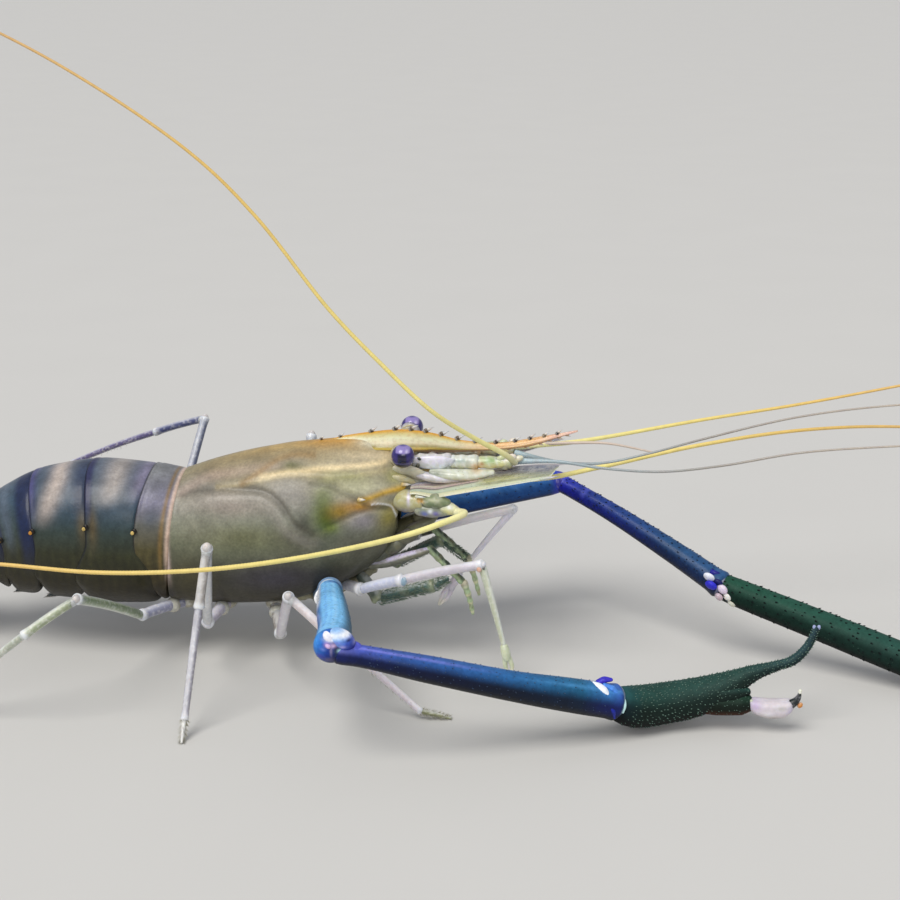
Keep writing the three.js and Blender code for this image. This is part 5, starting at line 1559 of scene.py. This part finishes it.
def near_carpus_tint(s, q):
    # Painted light and shade: the top is lighter, the sides and underside darker.
    top = ramp(s, (0, 116, 122, 204), (0.06, 76, 92, 186), (0.2, 46, 84, 156), (0.5, 44, 98, 160),
               (0.85, 34, 98, 136), (0.95, 60, 124, 190), (1, 50, 90, 170))
    side = ramp(s, (0, 16, 28, 90), (0.08, 5, 20, 66), (0.3, 3, 14, 48), (0.6, 2, 16, 38),
                (0.85, 4, 24, 48), (0.94, 8, 22, 80), (1, 12, 26, 90))
    under = ramp(s, (0, 8, 10, 34), (0.3, 0, 0, 6), (1, 0, 4, 10))
    return coats(lit(q, top, side, under),
                 # Two thin pale lines along the top are painted highlights.
                 (146, 146, 236, 0.5 * bell(np.cos(q), 0.9, 0.06) * step(s, 0.6, 0.2)),
                 (84, 150, 206, 0.5 * bell(np.cos(q), 0.86, 0.06) * step(s, 0.5, 0.9)))


def near_palm_tint(s, q):
    # Painted light and shade: lighter on top, darkest underneath.
    return lit(q, ramp(s, (0, 34, 78, 80), (0.1, 38, 70, 64), (0.6, 38, 68, 62), (1, 50, 72, 80)),
               ramp(s, (0, 12, 34, 40), (0.1, 18, 32, 28), (0.6, 22, 38, 34), (1, 34, 54, 60)),
               ramp(s, (0, 2, 6, 8), (0.4, 5, 5, 2), (0.8, 12, 22, 18), (1, 24, 42, 42)))


def make_near_elbow(form):
    """The broad end of the upper arm, and the knob that bears the next length."""
    end = np.array([-13.8, -79.8, 36.2])

    def elbow_tint(points):
        x, y, z = ((points - end) / 4.8).T
        # Lighter to the upper left and darker to the lower right: painted light and shade.
        tone = ramp(x - 0.5 * z, (-1.1, 70, 150, 226), (-0.6, 40, 104, 190), (0, 26, 56, 140),
                    (0.6, 24, 30, 84), (1.2, 14, 18, 44))
        return patches(tone, x, z, ELBOW_PATCHES)

    def knob_tint(points):
        x, y, z = points.T
        # Lighter to the upper left: painted light and shade.
        tone = ramp(x - z, (-51, 120, 180, 240), (-47, 60, 90, 190), (-44, 40, 50, 140))
        return patches(tone, x, z, KNOB_PATCHES)

    across = [0, 1, 0]
    form.ball(end + [0.2, 0, 0], (4.7, 4.8, 3.7), elbow_tint, 80, across)
    form.ball([-10.6, -80, 38.2], (4.1, 2.7, 3.2), knob_tint, 60, across)
    form.beads(LEFT, [((-13.8, -80.6, 39.2), (2, 1.4, 2.4), (236, 236, 250)),
                      ((-13.8, -82, 37.4), (1.2, 0.9, 1.8), (206, 176, 220))], 24, across)
    form.beads(LEFT, [((-7.4, -79.2, 34.9), (2.3, 2.3, 2.6), (84, 92, 196))], 40, [1, 0, -0.3])


def make_near_arm(shell, claw, skin):
    form = Form()
    ischium = arm_tube(ARMS["arm_right_ischium"], 26, end=(0.12, 1.6))
    # Lighter on top, darker underneath: painted light and shade.
    form.tube(ischium, lit_by((120, 150, 186), (96, 120, 150), (60, 72, 92)), 32)
    form.ball([-27, -7, 20], (3.6, 3.6, 3.4), rgb(122, 120, 100), 24)
    form.piece("arm_right_ischium_shell", shell, "arm", "arm_right_ischium")

    form = Form()
    path = [list(p) for p in ARMS["arm_right_merus"]]
    path[-1][:3] = [-13.6, -79.6, 36]
    merus = arm_tube(path, 100, start=(-0.06, 2))
    form.tube(merus, near_merus_tint, 72, 0.3)
    rows_of_spines(form, merus, 0.08, 0.9, np.linspace(-1.5, 1.5, 7), 3.4, 0.4,
                   (rgb(30, 66, 116), rgb(120, 170, 214)))
    # The curved rim that shows beside the first joint; its white is a painted highlight on that edge.
    rim = Route([[-22.6, -29, 31.6], [-24.6, -29.6, 30.2], [-25.4, -30, 28], [-24.6, -30, 26.4]])
    form.tube(Tube(rim.at(np.linspace(0, 1, 20)), 0.55), WHITE, 12)
    make_near_elbow(form)
    form.piece("arm_right_merus_shell", shell, "arm", "arm_right_merus")

    form = Form()
    carpus = arm_tube(ARMS["arm_right_carpus"], 190, start=(-0.05, 1), end=(0.06, 1.6))
    form.tube(carpus, near_carpus_tint, 60, 0.35)
    rows_of_spines(form, carpus, 0.1, 0.93, np.linspace(-1.9, 1.9, 11), 2.8, 0.42,
                   (rgb(8, 12, 30), rgb(84, 112, 150)))
    t = np.linspace(0, 1, 24)
    for points, radii, colour, flat in WRIST_BARS:
        tone = rgb(*colour)
        bar = Tube(Route(points).at(t), np.interp(t, np.linspace(0, 1, len(radii)), radii), flat=flat)
        # Each bar is darker underneath: painted shade.
        form.tube(bar, lambda s, q, tone=tone: blend(tone + 0 * s[..., None], tone * 0.5,
                                                     step(np.cos(q), 0, -0.9)), 22, 0.9)
    form.piece("arm_right_carpus_shell", shell, "arm", "arm_right_carpus")

    form = Form()
    form.ball([-9.2, -79.8, 35.2], (2.2, 2.2, 3), rgb(70, 74, 170), 26, [1, 0.2, -0.2])
    form.ball([64.6, -58, 11.1], (4.7, 4.7, 2.2), rgb(60, 96, 130), 40, [1, 0.35, -0.3])
    form.piece("arm_right_joint_skin", skin, "arm")

    form = Form()
    palm = arm_tube(ARMS["arm_right_palm"], 260, start=(-0.12, 1.4))
    form.tube(palm, near_palm_tint, 60, 0.5)
    tones = (rgb(34, 62, 54), rgb(132, 160, 146))
    turns = np.linspace(-2.8, 2.8, 25)
    for low, high, every, gap, seed in ((0.05, 0.56, 1, 1.25, 3), (0.56, 0.8, 2, 1.0, 5),
                                        (0.8, 0.985, 3, 0.85, 6)):
        rows_of_spines(form, palm, low, high, turns[::every], gap, 0.5, tones, 0.9, seed=seed)
    for way in (-0.6, 0.6):
        form.ball([121.6 + way, -46, 30.5], (0.55, 0.55, 0.8), rgb(150, 160, 196), 18, [way * 0.4, 0, 1])
    # A lump carries the short finger, and a fuller part joins it to the root of the long finger.
    t = np.linspace(0, 1, 40)
    # Both are lighter on top, a painted light, and the fuller part is darker underneath, a painted shade.
    for points, places, radii, tint, dome, reach, seed in (
            (((88, -50.4, 8.2), (94, -50.6, 8), (100, -50.9, 8.1), (103.4, -51, 8.4)),
             (0, 0.4, 0.85, 1), (3.4, 3.6, 3.3, 2.4),
             lit_by((30, 56, 44), (18, 28, 22), (66, 30, 12)), 0.4, 2.2, 8),
            (((88, -50, 10), (95, -50.3, 11), (102.6, -50.6, 11.8)), (0, 0.5, 0.8, 1),
             (3.6, 3.6, 2.8, 1.2), lit_by((38, 68, 62), (20, 34, 30), (14, 24, 18)), 0.8, 2.4, 9)):
        lump = Tube(Route(points).at(t), np.interp(t, places, radii))
        form.tube(lump, tint, 36, dome)
        rows_of_spines(form, lump, 0.1, 0.95, np.linspace(-reach, reach, 11), 1.2, 0.4, tones, 0.9,
                       seed=seed)
    form.piece("arm_right_palm_shell", claw, "claw", "arm_right_palm")
    make_short_finger(skin)


def make_short_finger(skin):
    """The pale nail of the right claw, with its dark hook."""
    form = Form()
    t = np.linspace(0, 1, 60)
    u, v = circle(48)
    round_off = np.sqrt(np.clip(1 - np.abs(2 * t - 1) ** 5, 0, 1))[:, None]
    roof = (10.6 - 0.5 * np.sin(np.pi * t))[:, None]
    floor = np.interp(t, [0, 0.2, 0.5, 0.8, 1], [7, 5.2, 4.2, 4.6, 6.6])[:, None]
    rise = np.sign(v) * np.abs(v) ** np.where(v > 0, 0.55, 0.95)
    rings = loft(mix(102.6, 115.9, t)[:, None], -51.6 + u * 2.7 * round_off,
                 (roof + floor) / 2 + rise * (roof - floor) / 2 * mix(0.45, 1, round_off))

    def nail_tint(points):
        x, y, z = points.T
        tone = ramp(z, (4, 190, 182, 176), (7, 214, 206, 214), (10, 206, 198, 204),
                    (10.6, 236, 232, 240))
        return patches(tone, x, z, NAIL_PATCHES)

    form.skin(rings, nail_tint)
    form.ball([103.6, -52.4, 9.2], (0.9, 0.8, 1.1), rgb(206, 214, 180), 18)
    hook = Route([[114.4, -52, 8.6], [116, -52, 9.8], [117, -52, 11.4], [117.3, -52, 13.4]])
    form.tube(Tube(hook.at(t), np.interp(t, [0, 0.35, 0.85, 1], [1.5, 1.15, 0.5, 0.45])),
              lambda s, q: coats(rgb(18, 30, 32) + 0 * s[..., None],
                                 (232, 234, 216, step(s, 0.84, 0.9))), 20, 0.9)
    form.ball([117.5, -52.3, 8.9], (0.75, 0.6, 0.9), rgb(206, 140, 70), 20, [0.6, 0, 1])
    form.piece("arm_right_finger_shell", skin, "finger", "arm_right_finger")


# The far arm's tints are lighter on top and darker underneath: painted light and shade.
def far_merus_tint(s, q):
    up = np.cos(q)
    return coats(lit(q, rgb(58, 118, 190), rgb(28, 78, 146), rgb(10, 30, 74)),
                 (70, 120, 180, 0.5 * bell(np.sin(s * 60 + 3 * up), 1, 0.3) * step(up, 0, 0.6)),
                 (54, 60, 190, 0.8 * step(s, 0.93, 0.99)))


def far_carpus_tint(s, q):
    top = ramp(s, (0, 52, 60, 190), (0.25, 36, 62, 140), (0.7, 36, 74, 116), (1, 44, 84, 130))
    side = ramp(s, (0, 30, 34, 160), (0.25, 22, 32, 116), (0.7, 12, 32, 70), (1, 16, 38, 76))
    rings = bell(np.sin(s * 44), 1, 0.2) * step(s, 0.4, 0.1) * step(np.cos(q), 0, 0.7)
    return coats(lit(q, top, side, rgb(6, 12, 34)), (100, 110, 226, 0.6 * rings))


def far_palm_tint(s, q):
    return lit(q, ramp(s, (0, 34, 78, 62), (0.6, 40, 74, 68), (0.9, 36, 60, 62), (1, 70, 80, 90)),
               ramp(s, (0, 14, 40, 32), (0.6, 16, 38, 34), (1, 22, 34, 36)), rgb(4, 10, 10))


def make_far_arm(shell, claw, skin):
    form = Form()
    ischium = arm_tube(ARMS["arm_left_ischium"], 30, end=(0.1, 1.6))
    # Lighter on top, darker underneath: painted light and shade.
    form.tube(ischium, lit_by((60, 96, 150), (40, 66, 116), (24, 34, 64)), 28)
    form.ball([-24, 8, 22], (3.6, 3.6, 3.4), rgb(122, 124, 104), 24)
    form.piece("arm_left_ischium_shell", shell, "arm", "arm_left_ischium")

    form = Form()
    merus = arm_tube(ARMS["arm_left_merus"], 110, end=(-0.06, 1.8))
    form.tube(merus, far_merus_tint, 40, 0.3)
    rows_of_spines(form, merus, 0.08, 0.94, np.linspace(-1.8, 1.8, 7), 3.4, 0.6,
                   (NIGHT, rgb(50, 70, 110)))
    form.piece("arm_left_merus_shell", shell, "arm", "arm_left_merus")

    form = Form()
    carpus = arm_tube(ARMS["arm_left_carpus"], 170, start=(0.06, 1), end=(0.1, 1.8))
    form.tube(carpus, far_carpus_tint, 44, 0.4)
    rows_of_spines(form, carpus, 0.06, 0.95, np.linspace(-2, 2, 11), 3, 0.7, (NIGHT, rgb(26, 38, 70)))
    form.spikes([95.6, -0.4, 28], [0.95, -0.28, -0.06], 4.2, 1.2,
                (rgb(40, 40, 150), rgb(26, 32, 90)), sides=12)
    form.beads(LEFT, [((94.8, -2.6, 27.4), (1.5, 1, 1.9), (236, 240, 252)),
                      ((95.4, -4, 25.2), (1.6, 1.1, 2), (50, 50, 200)),
                      ((97.6, -3.4, 26), (1.1, 0.9, 1.6), (28, 30, 90))], 24, [0.9, -0.4, -0.3])
    form.piece("arm_left_carpus_shell", shell, "arm", "arm_left_carpus")

    form = Form()
    form.ball([46.6, 34.6, 45.2], (3.9, 3.9, 3.4), rgb(60, 60, 170), 36)
    form.ball([98.8, -0.2, 23.8], (3.9, 3.9, 2.2), rgb(120, 124, 150), 36, [0.9, -0.35, -0.3])
    form.beads(LEFT, [((99, -4.2, 24), (1.5, 1.2, 1.9), (226, 210, 230)),
                      ((100.6, -4.4, 21.8), (1.3, 1.1, 1.7), (236, 232, 226)),
                      ((98, -4.6, 21.6), (1.1, 1, 1.4), (190, 170, 180)),
                      ((102, -4.6, 19.6), (1, 0.9, 1.5), (206, 206, 190))], 22, [0.7, -0.3, -0.6])
    form.piece("arm_left_joint_skin", skin, "arm")

    form = Form()
    palm = arm_tube(ARMS["arm_left_palm"], 300, start=(-0.12, 1.4))
    form.tube(palm, far_palm_tint, 44, 0.6)
    turns = np.linspace(-2.4, 2.4, 15)
    rows_of_spines(form, palm, 0.03, 0.62, turns, 3.8, 0.85, (rgb(8, 16, 16), rgb(20, 32, 32)))
    rows_of_spines(form, palm, 0.6, 0.95, turns[::2], 2.6, 0.5, (rgb(10, 18, 20), rgb(80, 92, 90)),
                   seed=5)
    form.piece("arm_left_palm_shell", claw, "claw", "arm_left_palm")

    form = Form()
    finger = arm_tube(ARMS["arm_left_finger"], 120)
    # Lighter on top, darker underneath: painted light and shade.
    form.tube(finger, lit_by((44, 66, 64), (22, 42, 38), (10, 18, 18)), 36, 0.7)
    rows_of_spines(form, finger, 0.04, 0.9, np.linspace(-2.8, 2.8, 9), 2.2, 0.5,
                   (rgb(30, 40, 34), rgb(130, 122, 96)), 0.9, seed=7)
    form.piece("arm_left_finger_shell", claw, "finger", "arm_left_finger")


# ---------------------------------------------------------------- the studio

def to_row(x, y, z):
    return Vector(np.array([x, y, z]) * MM + SHIFT)


def make_camera():
    target = to_row(13.186, 0, 66.574)
    distance, azimuth, elevation = 0.5, math.radians(4), math.radians(18)
    flat = math.cos(elevation)
    away = Vector((math.sin(azimuth) * flat, -math.cos(azimuth) * flat, math.sin(elevation)))
    camera = bpy.data.objects.new("camera", bpy.data.cameras.new("camera"))
    camera.data.lens, camera.data.sensor_width = 64.32, 36
    camera.data.clip_start, camera.data.clip_end = 0.01, 50
    camera.location = target + away * distance
    camera.rotation_euler = (-away).to_track_quat("-Z", "Y").to_euler()
    bpy.context.scene.collection.objects.link(camera)
    bpy.context.scene.camera = camera


def make_light(name, place, size, power, colour, aim=(0, 0, 0.03)):
    lamp = bpy.data.lights.new(name, "AREA")
    lamp.shape, lamp.size, lamp.size_y = "RECTANGLE", size[0], size[1]
    lamp.energy, lamp.color = power, colour
    made = bpy.data.objects.new(name, lamp)
    made.location = place
    made.rotation_euler = (Vector(aim) - Vector(place)).to_track_quat("-Z", "Y").to_euler()
    bpy.context.scene.collection.objects.link(made)


def make_studio():
    mesh = bpy.data.meshes.new("floor")
    reach = 9
    mesh.from_pydata([(-reach, -reach, 0), (reach, -reach, 0), (reach, reach, 0), (-reach, reach, 0)],
                     [], [(0, 1, 2, 3)])
    floor = bpy.data.objects.new("studio_floor", mesh)
    floor.location.z = -0.0002
    bpy.context.scene.collection.objects.link(floor)
    g = Graph("floor_paper")
    g.put(g.mix(g.noise(60, 2), FLOOR_TONE * 0.97, FLOOR_TONE), g.shader.inputs["Base Color"])
    g.shader.inputs["Roughness"].default_value = 0.9
    mesh.materials.append(g.material)
    world = bpy.data.worlds.new("studio")
    bpy.context.scene.world = world
    world.use_nodes = True
    sky = world.node_tree.nodes["Background"]
    sky.inputs["Color"].default_value = (0.9, 0.93, 1, 1)
    sky.inputs["Strength"].default_value = 0.45
    sun = bpy.data.lights.new("key", "SUN")
    sun.energy, sun.angle, sun.color = 2.1, math.radians(34), (1, 0.97, 0.92)
    key = bpy.data.objects.new("key", sun)
    key.rotation_euler = Vector((-0.35, -0.5, 1)).to_track_quat("Z", "Y").to_euler()
    bpy.context.scene.collection.objects.link(key)
    make_light("front", (0.3, -2.4, 1.5), (1.6, 0.8), 14, (1, 0.98, 0.95), (0, 0, 0.04))
    bpy.context.scene.view_settings.view_transform = "Standard"


FLOOR_TONE = rgb(206, 205, 202)


# ---------------------------------------------------------------- the whole animal

make_camera()
make_studio()

shell = finish("shell_plate", (), (), (0.34, 0.5), [(3, 0.2), (0.5, 0.03)], soft=0.15, coat=0.15,
               grains=[(9, 0.35), (3, 0.3), (0.8, 0.36)], shine=0.35)
crest = finish("crest_plate", [(3, rgb(230, 200, 150), 0.25), (1.2, rgb(150, 100, 40), 0.2)],
               [(1.2, 0.16, rgb(130, 80, 30), 0.4)], (0.25, 0.4), [(1.6, 0.12)], soft=0.4)
tail = finish("tail_plate", (), (), (0.3, 0.45), [(3, 0.2), (0.5, 0.03)], soft=0.12, coat=0.15,
              grains=[(6, 0.4), (2.4, 0.35), (0.8, 0.3)], shine=0.3)
fan = finish("fan_plate", [(4, rgb(90, 90, 110), 0.3)], [(1.1, 0.18, rgb(20, 22, 40), 0.5)],
             (0.25, 0.4), [(0.8, 0.05)])
under = finish("underside_plate", [(3, rgb(196, 190, 160), 0.35)], [(1.4, 0.2, rgb(90, 80, 60), 0.4)],
               (0.35, 0.5), [(1.5, 0.15)])
soft = finish("soft_skin", [(1.6, rgb(206, 210, 196), 0.35), (3, rgb(140, 140, 110), 0.3)],
              [(1.3, 0.18, rgb(120, 90, 40), 0.4)], (0.25, 0.4), [(1, 0.12)], soft=0.45, coat=0.5)
eye = finish("eye_surface", (), (), (0.12, 0.2), [(0.35, 0.015)], soft=0, coat=0.5, grains=[(0.5, 0.15)])
blade = finish("scale_blade", [(2, rgb(220, 220, 210), 0.25)], [(1.2, 0.18, rgb(110, 90, 90), 0.4)],
               (0.22, 0.36), [(0.8, 0.05)], soft=0.4, clear=0.12)
whip = finish("feeler_whip", (), (), (0.35, 0.5), [(0.6, 0.04)], soft=0.1, coat=0.1,
              grains=[(2, 0.16)])
thread = finish("feeler_thread", [(3, rgb(150, 140, 140), 0.3)], (), (0.35, 0.5), [(0.6, 0.03)])
limb = finish("leg_shell", [(1.2, rgb(236, 236, 236), 0.3)], [(1.1, 0.18, rgb(150, 120, 90), 0.2)],
              (0.28, 0.42), [(1.2, 0.1)], soft=0.3, grains=[(2.4, 0.14)])
mouth = finish("mouth_leaf", [(2.4, rgb(160, 156, 120), 0.35), (1.2, rgb(60, 66, 50), 0.3)],
               [(1.2, 0.2, rgb(40, 40, 30), 0.4)], (0.35, 0.5), [(0.9, 0.15)])
armour = finish("arm_shell", (), [(1.5, 0.15, rgb(120, 144, 170), 0.2)], (0.34, 0.5),
                [(2, 0.15), (0.5, 0.03)], soft=0, coat=0.08, grains=[(4, 0.3), (1, 0.3)], shine=0.22)
claw = finish("claw_shell", (), [(1.1, 0.16, rgb(110, 136, 120), 0.25)], (0.5, 0.65),
              [(1.4, 0.12), (0.4, 0.03)], soft=0, coat=0.02, grains=[(4, 0.3), (1, 0.3)], shine=0.15)
skin = finish("joint_skin", [(1.5, rgb(226, 222, 232), 0.2)], (), (0.35, 0.5), [(0.7, 0.08)], soft=0.3,
              coat=0.15, grains=[(1.6, 0.16)])
fur = finish("bristle", [(2, rgb(150, 146, 120), 0.3)], (), (0.5, 0.6), soft=0.1, coat=0.0)

make_carapace(shell)
make_rostrum(crest)
for index in range(len(TAIL_RINGS) - 1):
    make_tail_ring(index, tail, limb)
make_telson(fan)
for side_name, side in SIDES.items():
    make_fan_blade(f"inner_{side_name}", side, -13, 6, -0.6, 33.6, 4.6, fan)
    make_fan_blade(f"outer_{side_name}", side, -30, 14, -3.2, 35, 5.6, fan)
make_underside(under)
make_head(soft)
for side_name, side in SIDES.items():
    make_eye(side_name, side, eye, soft)
    make_first_base(side_name, side, soft)
    make_second_base(side_name, side, soft)
    make_scale(side_name, side, blade, fur)


def whip_tint(s):
    return ramp(s, (0, 244, 240, 196), (0.06, 242, 234, 158), (0.25, 236, 218, 134),
                (0.5, 226, 190, 108), (1, 200, 156, 118))


def thread_tint(s):
    return ramp(s, (0, 176, 198, 206), (0.12, 150, 166, 172), (0.4, 150, 146, 140),
                (1, 196, 184, 170))


branches = {"antennule_left": [(40, 7.8, 66.6), (50, 7.2, 67.4), (62, 7.6, 67.4), (76, 8, 64.8)]}
for name, path in FEELERS.items():
    radius = 0.8 if name.startswith("antennule") else 1.0
    make_feeler(name, path, radius, 2, "feeler", whip_tint, whip, branches.get(name))
for name, path in THREADS.items():
    make_feeler(name, path, 0.45, 1, "thread", thread_tint, thread)
make_mouthparts(mouth, fur)
for name, joints in WALKING_LEGS.items():
    make_walking_leg(name, joints, limb, fur)
for name, joints in SLENDER_CLAWS.items():
    make_slender_claw(name, joints, limb)
make_near_arm(armour, claw, skin)
make_far_arm(armour, claw, skin)
